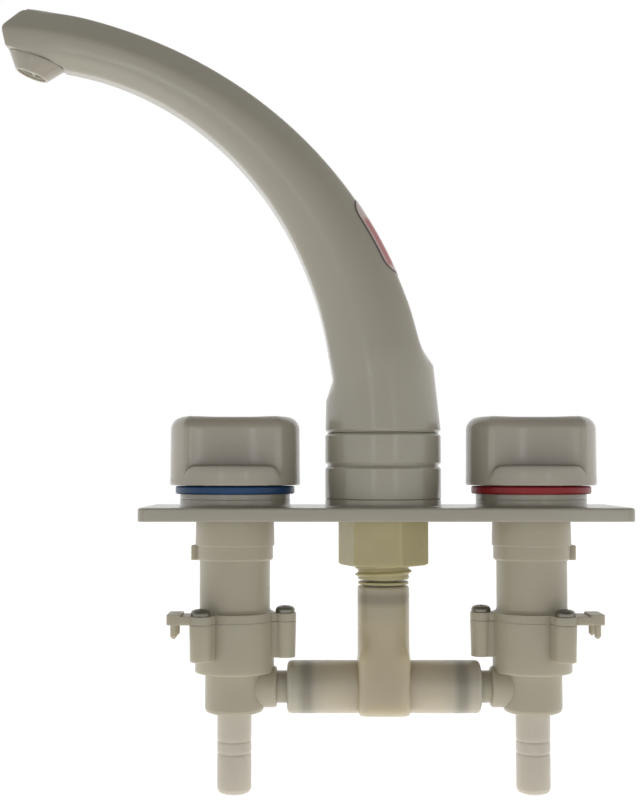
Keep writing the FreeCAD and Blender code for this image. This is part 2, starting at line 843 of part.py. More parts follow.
def lower_housing(ear_turn):
    plug_start = valve_to_tee + plug_gap
    plug_end = plug_start + plug_length
    outline = [(0, joint_level), (flange_radius, joint_level), (flange_radius, cup_top), (cup_radius, cup_top)]
    outline += [(cup_radius, cup_bottom + cup_edge), (cup_radius - cup_edge * 0.3, cup_bottom + cup_edge * 0.3)]
    body = lathe(outline + [(cup_radius - cup_edge, cup_bottom), (0, cup_bottom)])
    for angle in ear_angles(ear_turn):
        body = body.fuse(ear(angle, ear_radius, ear_radius - ear_taper, joint_level - ear_bottom, joint_level))
    outlet = [(0, 0), (boss_radius, 0), (boss_radius, boss_reach - boss_edge), (boss_radius - boss_edge, boss_reach)]
    outlet += [(spigot_neck_radius, boss_reach), (spigot_neck_radius, plug_start), (plug_radius, plug_start)]
    outlet += [(plug_radius, plug_end - 0.8), (plug_radius - 0.8, plug_end), (0, plug_end)]
    spigot = lathe(outlet).cut(seal_groove(socket_radius, seal_section, plug_start + valve_seal_place))
    body = body.fuse(along_x(spigot, 0, outlet_level))
    body = body.cut(along_x(disc(outlet_bore, 0, plug_end), 0, outlet_level))
    body = body.cut(disc(spigot_radius + running_gap, joint_level - spigot_length - running_gap, joint_level))
    body = body.cut(disc(wide_chamber_radius, cup_top + wide_chamber_floor, joint_level))
    body = body.cut(disc(chamber_radius, tail_seat, joint_level))
    body = body.cut(disc(tail_radius + running_gap, cup_bottom, tail_seat))
    half = face_seal_section / 2
    groove = tube(face_seal_radius + half, face_seal_radius - half, joint_level - face_seal_section, joint_level)
    body = body.cut(groove)
    for angle in ear_angles(ear_turn):
        x, y = polar(ear_circle, angle)
        hole_low = flange_top - screw_length - seal_gap
        body = body.cut(Part.makeCylinder(screw_radius + seal_gap, joint_level - hole_low, V(x, y, hole_low)))
    return body.removeSplitter()


def housing_seal():
    radius = face_seal_section / 2 - seal_gap
    return Part.makeTorus(face_seal_radius, radius, V(0, 0, joint_level - face_seal_section / 2))


def housing_screws(ear_turn):
    head_top = flange_top + screw_head_height
    low = flange_top - screw_length
    outline = [(0, low), (screw_radius * 0.5, low), (screw_radius, low + screw_radius), (screw_radius, flange_top)]
    outline += [(screw_head_radius, flange_top), (screw_head_radius, head_top - 1.2)]
    outline += [(screw_head_radius * 0.85, head_top - 0.4), (screw_head_radius * 0.55, head_top), (0, head_top)]
    slot = cross_slot(screw_head_radius * 0.55, screw_slot, head_top - screw_slot_depth, head_top)
    screws = []
    for angle in ear_angles(ear_turn):
        screw = lathe(outline).cut(slot)
        screw.rotate(ORIGIN, UP, angle * 2)
        screw.translate(V(*polar(ear_circle, angle), 0))
        screws.append(screw)
    return screws


# Inlet tails, spindles and jumpers


def inlet_tail():
    head_radius = chamber_radius - running_gap
    head_top = tail_seat + tail_head_thickness
    tail_end = cup_bottom - tail_length
    outline = [(tail_bore, seat_top), (tail_bore, tail_end), (tail_radius - tail_round, tail_end)]
    outline += [(tail_radius - tail_round * 0.3, tail_end + tail_round * 0.3), (tail_radius, tail_end + tail_round)]
    half = tail_groove_width / 2
    for place in reversed(tail_groove_places):
        middle = cup_bottom - place
        outline += [(tail_radius, middle - half), (tail_radius - tail_groove_depth, middle), (tail_radius, middle + half)]
    outline += [(tail_radius, tail_seat), (head_radius, tail_seat), (head_radius, head_top), (seat_radius, head_top)]
    outline += [(seat_radius, seat_top - seat_round), (seat_radius - seat_round, seat_top)]
    groove = seal_groove(chamber_radius, inlet_seal_section, tail_seat + tail_head_thickness / 2)
    return lathe(outline).cut(groove)


def inlet_oring():
    return seal_ring(chamber_radius, inlet_seal_section, tail_seat + tail_head_thickness / 2)


def spindle():
    screw_low = spindle_flange_low - spindle_screw_length
    clip_bottom = valve_neck_height + running_gap - seal_gap
    clip_above = clip_bottom + spindle_clip_thickness + 2 * seal_gap
    outline = [(0, screw_low), (spindle_screw_radius - 0.8, screw_low), (spindle_screw_radius, screw_low + 0.8)]
    outline += [(spindle_screw_radius, spindle_flange_low), (spindle_flange_radius, spindle_flange_low)]
    outline += [(spindle_flange_radius, spindle_flange_top), (spindle_radius, spindle_flange_top)]
    outline += [(spindle_radius, clip_bottom), (spindle_radius - spindle_clip_groove, clip_bottom)]
    outline += [(spindle_radius - spindle_clip_groove, clip_above), (spindle_radius, clip_above)]
    shaft = lathe(outline + [(spindle_radius, spindle_square_low), (0, spindle_square_low)])
    half = spindle_square / 2
    square = block(-half, half, -half, half, spindle_square_low, spindle_top)
    shaft = shaft.fuse(square.common(disc(spindle_radius, spindle_square_low, spindle_top)))
    hole_low = knob_screw_seat - knob_screw_length - 1
    shaft = shaft.cut(disc(knob_screw_radius + seal_gap, hole_low, spindle_top))
    for depth in spindle_seal_depths:
        shaft = shaft.cut(seal_groove(spindle_radius + running_gap, spindle_seal_section, valve_neck_height - depth))
    return shaft


def spindle_orings():
    bore = spindle_radius + running_gap
    return [seal_ring(bore, spindle_seal_section, valve_neck_height - depth) for depth in spindle_seal_depths]


def spindle_clip():
    """Spring clip on the spindle, open to the outer side."""
    low = valve_neck_height + running_gap
    high = low + spindle_clip_thickness
    inside = spindle_radius - spindle_clip_groove + seal_gap
    return tube(spindle_clip_radius, inside, low, high).cut(block(-spindle_clip_radius, 0, -inside, inside, low, high))


def jumper():
    """Six-sided guide, stem and washer holder in one piece. It slides and cannot turn."""
    guide_low = jumper_top - jumper_guide_length
    guide = hexagon(hex_across_flats - 2 * running_gap, guide_low, jumper_top)
    reach = hex_across_flats / math.sqrt(3)
    outline = [(0, guide_low), (reach - jumper_guide_chamfer, guide_low), (reach, guide_low + jumper_guide_chamfer)]
    outline += [(reach, jumper_top - jumper_guide_chamfer), (reach - jumper_guide_chamfer, jumper_top)]
    body = guide.common(lathe(outline + [(0, jumper_top)]))
    body = body.fuse(disc(jumper_stem_radius, holder_low, guide_low))
    body = body.fuse(disc(holder_radius, holder_low, holder_low + holder_height))
    screw_end = spindle_flange_low - spindle_screw_length - jumper_screw_room
    body = body.cut(disc(spindle_screw_radius + running_gap, screw_end, jumper_top))
    return body.cut(disc(washer_radius + seal_gap, holder_low, holder_low + washer_recess)).removeSplitter()


def valve_washer():
    return disc(washer_radius, washer_low, washer_low + washer_thickness)


# Tee


def tee_piece():
    upright_low = outlet_level - tee_below_axis
    lip_top = tee_top + tee_lip_height
    edge = tee_edge * 0.3
    arm_outline = [(0, -tee_half_length), (tee_arm_radius - tee_edge, -tee_half_length)]
    arm_outline += [(tee_arm_radius - edge, edge - tee_half_length), (tee_arm_radius, tee_edge - tee_half_length)]
    arm_outline += [(tee_arm_radius, tee_half_length - tee_edge), (tee_arm_radius - edge, tee_half_length - edge)]
    arm_outline += [(tee_arm_radius - tee_edge, tee_half_length), (0, tee_half_length)]
    upright = [(0, upright_low), (tee_upright_radius - tee_edge, upright_low)]
    upright += [(tee_upright_radius - edge, upright_low + edge), (tee_upright_radius, upright_low + tee_edge)]
    upright += [(tee_upright_radius, tee_top - 0.5), (tee_upright_radius - 0.5, tee_top)]
    upright += [(tee_lip_radius, tee_top), (tee_lip_radius, lip_top), (0, lip_top)]
    body = along_x(lathe(arm_outline), 0, outlet_level).fuse(lathe(upright))
    body = body.cut(disc(tee_passage, outlet_level, lip_top))
    body = body.cut(disc(socket_radius, tee_top - socket_depth, lip_top))
    body = body.cut(along_x(disc(tee_passage, -tee_half_length, tee_half_length), 0, outlet_level))
    for start in (-tee_half_length, tee_half_length - socket_depth):
        body = body.cut(along_x(disc(socket_radius, 0, socket_depth), start, outlet_level))
    return body.removeSplitter()


def tee_orings():
    upright = seal_ring(socket_radius, seal_section, tee_top - plug_gap - stem_seal_place)
    place = tee_half_length - plug_gap - valve_seal_place
    lying = seal_ring(socket_radius, seal_section, 0)
    return [upright] + [along_x(lying, side * place, outlet_level) for side in (-1, 1)]


# All pieces

ONE_OF_EACH = (base_plate, spout_body, spout_nozzle, nozzle_insert, nozzle_oring, blank_label, spout_collar,
               spout_glide_ring, spout_clip, mounting_stem, swivel_orings, stem_nut, stem_washer, tee_piece, tee_orings)
ON_BOTH_SIDES = (knob, knob_cap, knob_screw, index_ring, clamp_nut, valve_body, lower_housing, housing_seal,
                 housing_screws, inlet_tail, inlet_oring, spindle, spindle_orings, spindle_clip, jumper, valve_washer)
WITH_EARS = (valve_body, lower_housing, housing_screws)


def save(name, made):
    shape = Part.makeCompound(made) if isinstance(made, list) else made
    shape.exportStep(os.path.join("parts", name + ".step"))


os.makedirs("parts", exist_ok=True)
for piece in ONE_OF_EACH:
    save(piece.__name__, piece())
for prefix, side, ear_turn in (("cold_", -1, cold_ear_turn), ("hot_", 1, hot_ear_turn)):
    for piece in ON_BOTH_SIDES:
        made = piece(ear_turn) if piece in WITH_EARS else piece()
        placed = [on_side(solid, side) for solid in made] if isinstance(made, list) else on_side(made, side)
        save(prefix + piece.__name__, placed)
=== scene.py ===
# %% [markdown]
# # A plastic deck mixer tap
# The object is a light moulded tap of the kind fitted in caravans and boats: one plate, two round knobs, a
# tall curved spout that swivels, and the valves, tee and nut that hang below the worktop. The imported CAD
# model is loaded first and never changed. Each visible piece is then made again with finer curves, in the
# same place and size.

# %% Load the frame
import bpy
import bmesh
import math
from mathutils import Matrix, Vector


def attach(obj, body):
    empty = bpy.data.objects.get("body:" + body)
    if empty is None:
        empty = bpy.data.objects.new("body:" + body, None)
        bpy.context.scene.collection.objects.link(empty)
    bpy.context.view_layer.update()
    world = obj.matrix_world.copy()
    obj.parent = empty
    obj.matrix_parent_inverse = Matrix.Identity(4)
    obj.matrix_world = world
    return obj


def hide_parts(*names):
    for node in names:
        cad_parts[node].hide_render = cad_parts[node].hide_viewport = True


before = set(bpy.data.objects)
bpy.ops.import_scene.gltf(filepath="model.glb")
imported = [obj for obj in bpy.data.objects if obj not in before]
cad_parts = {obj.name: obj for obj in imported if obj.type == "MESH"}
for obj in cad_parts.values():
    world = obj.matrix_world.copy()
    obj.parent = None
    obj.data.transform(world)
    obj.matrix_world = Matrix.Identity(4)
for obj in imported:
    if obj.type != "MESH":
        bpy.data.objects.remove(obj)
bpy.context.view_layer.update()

# %% [markdown]
# ## Working in millimetres
# A maker reads a drawing in millimetres, so every size below is in millimetres and one factor turns it to
# metres. Heights count up from the plate's underside, which lies on the worktop. The levels are those of the
# CAD source.

# %% Sizes and levels
MM = 0.001
VALVE_X = 52.5
PLATE_X, PLATE_Y, CORNER, PLATE_WALL, RIB, RIB_X = 84, 25, 3.0, 3, 0.9, 26.25
PLATE_TOP, BOSS_TOP, COLLAR_TOP, SPOUT_LOW = 4.6, 7.1, 30.3, 30.6
SPOUT_BOSS, VALVE_BOSS, COLLAR, STEM_HOLE, VALVE_HOLE = 20.5, 19.45, 20.5, 10.3, 11.2
KNOB_LOW, KNOB_TOP = 12.07, 36.17
FLANGE_TOP, JOINT, CUP_TOP, CUP_LOW, OUTLET = -32.6, -35.5, -53.3, -67.5, -58.8
TEE_TOP, TEE_REACH = -23.4, 33.95
INLET_END, INLET = -95.6, 6.0
EAR, EAR_CIRCLE, EAR_TURNS = 3.85, 18.0, {"cold": -6.8, "hot": 0.2}
print("valves", 2 * VALVE_X, "mm apart, plate", PLATE_TOP, "mm thick")

# %% [markdown]
# ## Turning one half outline into a round piece
# Most of the tap is round. Such a piece could be a cylinder with edited loops, or a curve with a screw
# modifier. Here its half outline is written as points of radius and height, each corner is eased by a small
# bend, and the outline is swept about the Z axis. The bends catch the light as a moulding's do.

# %% Helpers for turned pieces
def on_circle(radius, angle):
    return radius * math.cos(angle), radius * math.sin(angle)


def eased(outline, bend):
    """The outline with each corner off the axis replaced by a short curve."""
    points = []
    count = len(outline)
    for k, corner in enumerate(outline):
        before, after = Vector(outline[k - 1]), Vector(outline[(k + 1) % count])
        corner = Vector(corner)
        if corner.x < 1e-6 or bend == 0:
            points.append(corner)
            continue
        back, ahead = before - corner, after - corner
        start = corner + back.normalized() * min(bend, 0.45 * back.length)
        end = corner + ahead.normalized() * min(bend, 0.45 * ahead.length)
        for t in (0.0, 0.25, 0.5, 0.75, 1.0):
            points.append(start * (1 - t) ** 2 + corner * (2 * t * (1 - t)) + end * t ** 2)
    return points


def turned(outline, bend, around):
    """Points and faces of the closed outline turned about the Z axis."""
    profile = eased(outline, bend)
    points, rings = [], []
    for place in profile:
        if place.x < 1e-6:
            rings.append([len(points)] * around)
            points.append((0, 0, place.y))
            continue
        rings.append(list(range(len(points), len(points) + around)))
        for step in range(around):
            points.append((*on_circle(place.x, 2 * math.pi * step / around), place.y))
    faces = []
    for k, ring in enumerate(rings):
        other = rings[(k + 1) % len(rings)]
        if ring[0] == ring[1] and other[0] == other[1]:
            continue
        for step in range(around):
            beside = (step + 1) % around
            corners = (ring[step], ring[beside], other[beside], other[step])
            faces.append(list(dict.fromkeys(corners)))
    return points, faces

# %% [markdown]
# ## From points to an object
# A piece is one mesh object. Its faces are smooth, and an edge stays crisp only where two faces meet at a
# real angle. Where a mould leaves a rounded edge, a bevel rounds just the edges that are picked for it.

# %% Helpers for objects
def in_scene(name, data):
    """New object of the data, put in the scene."""
    obj = bpy.data.objects.new(name, data)
    bpy.context.scene.collection.objects.link(obj)
    return obj


def smooth(obj, crisp=40):
    """Smooth faces, with sharp edges above an angle."""
    obj.data.shade_smooth()
    obj.data.set_sharp_from_angle(angle=math.radians(crisp))
    return obj


def solid(name, points, faces, crisp=40):
    """Object of the points, given in millimetres."""
    mesh = bpy.data.meshes.new(name)
    mesh.from_pydata([Vector(point) * MM for point in points], [], faces)
    work = bmesh.new()
    work.from_mesh(mesh)
    bmesh.ops.remove_doubles(work, verts=work.verts, dist=0.0005 * MM)
    bmesh.ops.recalc_face_normals(work, faces=work.faces)
    work.to_mesh(mesh)
    work.free()
    return smooth(in_scene(name, mesh), crisp)


def bevelled(obj, size, segments, wanted, clamp=False):
    """Round the edges that wanted() picks."""
    work = bmesh.new()
    work.from_mesh(obj.data)
    chosen = [edge for edge in work.edges if wanted(edge)]
    bmesh.ops.bevel(work, geom=chosen, offset=size * MM, segments=segments, profile=0.5, affect="EDGES",
                    clamp_overlap=clamp)
    work.to_mesh(obj.data)
    work.free()
    return obj


def rise(edge):
    """Height from one end of an edge to the other, in millimetres."""
    return abs(edge.verts[0].co.z - edge.verts[1].co.z) / MM


def moved(obj, x=0, y=0, z=0, turn=0, axis="Z"):
    """Turn the mesh about an axis through the origin, then shift it."""
    shift = Matrix.Translation(Vector((x, y, z)) * MM)
    obj.data.transform(shift @ Matrix.Rotation(math.radians(turn), 4, axis))
    return obj

# %% [markdown]
# ## Joining and cutting
# Round bars, blocks and ears are made apart and joined by Boolean modifiers, which are then applied, so that
# the joined piece is one closed skin as the real moulding is.

# %% Helpers for joined pieces
def boolean(obj, others, operation):
    """Join others to the object, or cut them from it, make the result its own mesh, and remove them."""
    for other in others:
        modifier = obj.modifiers.new("cut", "BOOLEAN")
        modifier.operation, modifier.object, modifier.solver = operation, other, "EXACT"
    bpy.context.view_layer.update()
    result = bpy.data.meshes.new_from_object(obj.evaluated_get(bpy.context.evaluated_depsgraph_get()))
    obj.modifiers.clear()
    obj.data = result
    for other in others:
        bpy.data.objects.remove(other)
    return smooth(obj)


def block(x_low, x_high, y_low, y_high, low, high, edge=0.0, upright=0.0):
    """Block with softened edges: the upright ones by one size, the level ones by another."""
    outline = ((x_low, y_low), (x_high, y_low), (x_high, y_high), (x_low, y_high))
    faces = [(3, 2, 1, 0), (4, 5, 6, 7), (0, 1, 5, 4), (1, 2, 6, 5), (2, 3, 7, 6), (3, 0, 4, 7)]
    obj = solid("block", [(x, y, z) for z in (low, high) for x, y in outline], faces)
    for size, stands in ((upright, True), (edge, False)):
        if size:
            bevelled(obj, size, 5, lambda line: (rise(line) > 0.5 * (high - low)) == stands)
    return smooth(obj)


def lathe(name, outline, bend, around):
    """Object of a turned outline."""
    return solid(name, *turned(outline, bend, around))


def bar(radius, low, high, around=96):
    return lathe("bar", [(0, low), (radius, low), (radius, high), (0, high)], 0, around)

# %% [markdown]
# ## Into the CAD node's place
# A finished piece gets its name, its material and the body that it moves with, and hides the CAD node that it
# stands for. The hot side mirrors the cold side, so a piece that is alike on both is made once.

# %% Helpers for placing
def placed(obj, name, body, nodes, slot, material):
    """Name a finished piece, give it its material, and let it ride in its CAD nodes' place."""
    obj.name = obj.data.name = name
    obj.data.materials.clear()
    obj.data.materials.append(material)
    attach(obj, body)
    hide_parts(*nodes)
    print(name, len(obj.data.polygons), "faces,", [round(1000 * size, 1) for size in obj.dimensions], "mm")
    return obj


def on_side(obj, side, name, body, slot, material):
    """Put a piece that has its outer side at -X on the cold side, or its mirror image on the hot side."""
    if side == "hot":
        obj.data.transform(Matrix.Diagonal((-1, 1, 1, 1)))
        obj.data.flip_normals()
    moved(obj, VALVE_X if side == "hot" else -VALVE_X)
    rides_on = body if body == "fixed" else f"{side}_{body}"
    return placed(obj, f"{name}_{side}", rides_on, [f"{side}_{name}"], slot, material)


def on_both_sides(obj, name, body, slots, materials):
    """Put one piece on the cold side and its mirror image on the hot side."""
    twin = in_scene(name, obj.data.copy())
    on_side(obj, "cold", name, body, slots[0], materials[0])
    on_side(twin, "hot", name, body, slots[-1], materials[-1])

# %% [markdown]
# ## Materials as node trees
# Each finish is built from nodes, so that it has no picture to stretch and is the same from all sides. One
# helper adds a node with its settings and links. Colours are sRGB hex, as a paint chart gives them, and one
# function turns them to the linear values that the shader works in.

# %% Helpers for materials
def linear(code):
    """Linear RGBA of an sRGB hex code."""
    values = [int(code[k:k + 2], 16) / 255 for k in (1, 3, 5)]
    return [v / 12.92 if v <= 0.04045 else ((v + 0.055) / 1.055) ** 2.4 for v in values] + [1.0]


def node(tree, kind, settings=None):
    """Add a node. A setting is a property, or an input by name or number with its value or its source."""
    made = tree.nodes.new("ShaderNode" + kind)
    for key, value in (settings or {}).items():
        source = value.outputs[0] if isinstance(value, bpy.types.Node) else value
        if isinstance(key, str) and hasattr(made, key):
            setattr(made, key, value)
        elif isinstance(source, bpy.types.NodeSocket):
            tree.links.new(source, made.inputs[key])
        else:
            made.inputs[key].default_value = value
    return made


def empty_tree(thing):
    """The node tree of a material or world, switched on and emptied."""
    thing.use_nodes = True
    thing.node_tree.nodes.clear()
    return thing.node_tree


def first(tree, kind):
    """The first node of a kind in a tree."""
    return next(made for made in tree.nodes if made.type == kind)


MIX_A, MIX_B = 6, 7


def moulded(name, colour, flow_colour, roughness, flow_mm, grain_mm, grain_depth_mm, settings=None):
    """A moulded plastic: flow clouds in its colour, uneven gloss, and the mould's fine grain as bump."""
    material = bpy.data.materials.new(name)
    tree = empty_tree(material)
    place = node(tree, "TexCoord").outputs["Object"]
    clouds = node(tree, "TexNoise", {"Scale": 1000 / flow_mm, "Detail": 3.0, "Vector": place})
    tint = node(tree, "Mix", {"data_type": "RGBA", "Factor": clouds.outputs["Fac"],
                              MIX_A: linear(colour), MIX_B: linear(flow_colour)})
    rubbed = node(tree, "TexNoise", {"Scale": 1000 / (flow_mm * 0.3), "Detail": 6.0, "Roughness": 0.65,
                                     "Vector": place})
    gloss = node(tree, "MapRange", {"From Min": 0.35, "From Max": 0.7, "To Min": roughness * 0.85,
                                    "To Max": roughness * 1.2, "Value": rubbed.outputs["Fac"]})
    grain = node(tree, "TexNoise", {"Scale": 1000 / grain_mm, "Detail": 2.0, "Vector": place})
    bump = node(tree, "Bump", {"Strength": 0.6, "Distance": grain_depth_mm * MM,
                               "Height": grain.outputs["Fac"]})
    shader = node(tree, "BsdfPrincipled", {"Base Color": tint.outputs[2], "Roughness": gloss,
                                           "Normal": bump, **(settings or {})})
    node(tree, "OutputMaterial", {"Surface": shader})
    return material


def nearness(tree, source, middle, full, none, settings=None):
    """1 within one distance of the middle, 0 beyond another, and between them a ramp."""
    away = node(tree, "Math", {"operation": "SUBTRACT", 0: source, 1: middle})
    size = node(tree, "Math", {"operation": "ABSOLUTE", 0: away})
    return node(tree, "MapRange", {"From Min": full, "From Max": none, "To Min": 1.0, "To Max": 0.0,
                                   "Value": size, **(settings or {})})

# %% [markdown]
# ## ABS, injection moulded and satin
# The spout, collar, plate and knobs are ABS, a hard plastic whose gloss comes from the polished mould. To the
# eye it is a warm pale grey with soft clouds where the melt flowed, a clear but not sharp highlight, and
# light rims where it curves away. Its IOR is about 1.54. The grain is under 0.1 mm on the real piece, so it
# is drawn at 0.6 mm.

# %% ABS
SPREAD = (1.0, 0.95, 0.85)
SATIN = {"IOR": 1.54, "Subsurface Weight": 0.3, "Subsurface Scale": 3 * MM, "Subsurface Radius": SPREAD}
INDEX = {"IOR": 1.54, "Specular IOR Level": 0.25}
abs_spout = moulded("ABS_injection_moulded", "#a19c8e", "#9e998a", 0.20, 22, 0.6, 0.0012, SATIN)
abs_knob = moulded("ABS_injection_moulded_knob", "#a29b8d", "#9f988a", 0.18, 16, 0.6, 0.0010, SATIN)
abs_blue = moulded("ABS_blue_moulded", "#22466f", "#1e3e62", 0.35, 9, 0.5, 0.002, INDEX)
abs_red = moulded("ABS_red_moulded", "#93262a", "#862024", 0.35, 9, 0.5, 0.002, INDEX)
print("four ABS finishes")

# %% [markdown]
# ## Acetal, nylon and polypropylene
# Below the plate nothing is polished. The valve bodies are acetal, dense and milky. The nut and stem are
# natural nylon, which is yellower. The tee is clear-natural polypropylene, and its O-rings show through it as
# soft grey bands. Light enters all three a few millimetres deep, which softens their shading, so they get
# subsurface light.

# %% Valve plastics
MILKY = {"IOR": 1.48, "Subsurface Weight": 0.5, "Subsurface Scale": 5 * MM, "Subsurface Radius": SPREAD}
acetal = moulded("Acetal_moulded_natural", "#aaa391", "#a39c88", 0.42, 14, 0.5, 0.010, MILKY)
# The lower housings use the same acetal as the valve bodies, drawn lighter: painted light from the floor
# below them.
acetal_cup_painted_lighter = moulded("Acetal_moulded_cup_painted_lighter", "#b0a996", "#a9a28d", 0.42, 14, 0.5, 0.010, MILKY)
# The inlet tails use the same acetal again, drawn lighter still: painted light from the floor just below
# them.
acetal_tail_painted_lighter = moulded("Acetal_moulded_tail_painted_lighter", "#c9c1b3", "#c1b9a9", 0.40, 9, 0.5, 0.008, MILKY)
nylon = moulded("Nylon_moulded_natural", "#aca37c", "#a29970", 0.40, 8, 0.5, 0.010, MILKY)
acetal_white = moulded("Acetal_moulded_white", "#b5b0a4", "#ada898", 0.35, 8, 0.4, 0.004, {"IOR": 1.48})
print("five valve plastics")

# %% [markdown]
# The tee starts as the same kind of plastic. Its grey bands follow the distance from where the O-rings sit,
# and its upright is a little warmer, because the nylon stem shines through it.

# %% Tee plastic
SMOOTH = {"interpolation_type": "SMOOTHSTEP"}
BAND_X, BAND_Z = 27.05, -27.5


def tee_material():
    """Natural polypropylene with soft grey bands where the O-rings are, and a warmer upright."""
    deep = {"IOR": 1.49, "Subsurface Weight": 1.0, "Subsurface Scale": 16 * MM, "Subsurface Radius": SPREAD}
    material = moulded("Polypropylene_translucent_moulded", "#bcb3a0", "#b3aa95", 0.33, 12, 0.5, 0.008, deep)
    tree = material.node_tree
    parts = node(tree, "SeparateXYZ", {"Vector": first(tree, "TEX_COORD").outputs["Object"]}).outputs
    reach = node(tree, "Math", {"operation": "ABSOLUTE", 0: parts["X"]})
    bands = [nearness(tree, source, middle * MM, 0.4 * MM, 4.0 * MM, SMOOTH)
             for source, middle in ((reach, BAND_X), (parts["Z"], BAND_Z))]
    both = node(tree, "Math", {"operation": "MAXIMUM", 0: bands[0], 1: bands[1]})
    soft = node(tree, "Math", {"operation": "MULTIPLY", 0: both, 1: 0.55})
    upright = node(tree, "MapRange", {**SMOOTH, "From Min": 8.5 * MM, "From Max": 10.5 * MM,
                                      "To Min": 0.75, "To Max": 0.0, "Value": reach})
    higher = node(tree, "MapRange", {"From Min": -66 * MM, "From Max": -46 * MM, "To Min": 0.25,
                                     "To Max": 1.0, "Value": parts["Z"]})
    warmer = node(tree, "Math", {"operation": "MULTIPLY", 0: upright, 1: higher})
    warm = node(tree, "Mix", {"data_type": "RGBA", "Factor": warmer,
                              MIX_A: first(tree, "MIX").outputs[2], MIX_B: linear("#b3a788")})
    shaded = node(tree, "Mix", {"data_type": "RGBA", "Factor": soft,
                                MIX_A: warm.outputs[2], MIX_B: linear("#6f6a60")})
    tree.links.new(shaded.outputs[2], first(tree, "BSDF_PRINCIPLED").inputs["Base Color"])
    return material


polypropylene = tee_material()
print("polypropylene with bands at", BAND_X, "and", BAND_Z, "mm")

# %% [markdown]
# ## Rubber, steel and film
# O-rings are nitrile rubber, matt and nearly black. The screws are zinc-plated steel dulled by handling, and
# the clips are rolled spring steel. Both metals keep the default IOR and get their look from colour and
# roughness. The label is a thin printed film: here only a plain red field on pale film, with nothing written
# on it.

# %% Rubber and steel
rubber = moulded("Nitrile_rubber_moulded", "#2b2a28", "#232220", 0.6, 5, 0.3, 0.010, {"IOR": 1.52})
screw_steel = moulded("Steel_zinc_plated", "#96938a", "#6f6c62", 0.44, 2.2, 0.35, 0.008, {"Metallic": 1.0})
spring_steel = moulded("Spring_steel_rolled", "#9a9a98", "#8c8c8b", 0.28, 3, 0.4, 0.006, {"Metallic": 1.0})
print("rubber and two steels")

# %% [markdown]
# The label keeps flat coordinates as UVs, a hundredth for each millimetre, so that they stay between -1 and
# 1. One layer says how far along and across a point is, and the other how far in from the edge.

# %% Label film
UV_MM = 1 / 100
FIELD_X, FIELD_HALF_LONG, FIELD_HALF_WIDE, FIELD_SOFT = -2.4, 10.4, 7.2, 1.8
EDGE_FULL, EDGE_NONE = 0.35, 0.55


def label_material():
    """Pale film with a plain red field and a thin dark edge, read from the label's own flat coordinates."""
    material = moulded("Polyester_film_printed", "#cabbb4", "#c2b2aa", 0.22, 10, 0.8, 0.003, {"IOR": 1.58})
    tree = material.node_tree
    parts = node(tree, "SeparateXYZ", {0: node(tree, "UVMap", {"uv_map": "flat"})}).outputs
    ramps = [nearness(tree, parts[axis], middle * UV_MM, (half - FIELD_SOFT) * UV_MM, half * UV_MM)
             for axis, middle, half in (("X", FIELD_X, FIELD_HALF_LONG), ("Y", 0.0, FIELD_HALF_WIDE))]
    field = node(tree, "Math", {"operation": "MULTIPLY", 0: ramps[0], 1: ramps[1]})
    inked = node(tree, "Mix", {"data_type": "RGBA", "Factor": field,
                               MIX_A: first(tree, "MIX").outputs[2], MIX_B: linear("#b47270")})
    inward = node(tree, "SeparateXYZ", {0: node(tree, "UVMap", {"uv_map": "rim"})})
    outline = nearness(tree, inward.outputs["X"], 0.0, EDGE_FULL * UV_MM, EDGE_NONE * UV_MM)
    edged = node(tree, "Mix", {"data_type": "RGBA", "Factor": outline,
                               MIX_A: inked.outputs[2], MIX_B: linear("#5d5350")})
    tree.links.new(edged.outputs[2], first(tree, "BSDF_PRINCIPLED").inputs["Base Color"])
    return material


film = label_material()
print("film with a field of", 2 * FIELD_HALF_LONG, "by", 2 * FIELD_HALF_WIDE, "mm")

# %% [markdown]
# ## The pieces that stay as they are
# The O-rings, clips, jumpers and washers are hidden inside. Their CAD solids are the right shape, so they
# stay and only get their finish.

# %% Finishes for the inner pieces
inner = {"oring": rubber, "seal": rubber, "washer": rubber, "clip": spring_steel, "knob_screw": screw_steel}
for name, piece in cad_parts.items():
    chosen = next((material for word, material in inner.items() if word in name), acetal_white)
    for k in range(max(1, len(piece.material_slots))):
        if piece.material_slots:
            piece.material_slots[k].material = chosen
        else:
            piece.data.materials.append(chosen)
print(len(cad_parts), "CAD nodes have a finish")

# %% [markdown]
# ## The plate
# One flat moulding with a round boss for each valve and one for the spout. Its top edges are eased, and its
# underside is hollow with ribs so that it does not sink as it cools. A rounded block is made, the bosses are
# joined to it with a small flare at their feet, and the hollow and the three holes are cut.

# %% Base plate
BOSSES = ((0, SPOUT_BOSS), (-VALVE_X, VALVE_BOSS), (VALVE_X, VALVE_BOSS))
plate = block(-PLATE_X, PLATE_X, -PLATE_Y, PLATE_Y, 0, PLATE_TOP, upright=CORNER)
bevelled(plate, 0.8, 4, lambda edge: all(abs(vert.co.z - PLATE_TOP * MM) < 1e-7 for vert in edge.verts))
bosses = []
for x, radius in BOSSES:
    outline = [(0, 0.4), (radius + 0.9, 0.4), (radius + 0.9, PLATE_TOP), (radius + 0.35, PLATE_TOP + 0.25),
               (radius, PLATE_TOP + 0.9), (radius, BOSS_TOP), (0, BOSS_TOP)]
    bosses.append(moved(lathe("boss", outline, 0.25, 128), x))
boolean(plate, bosses, "UNION")

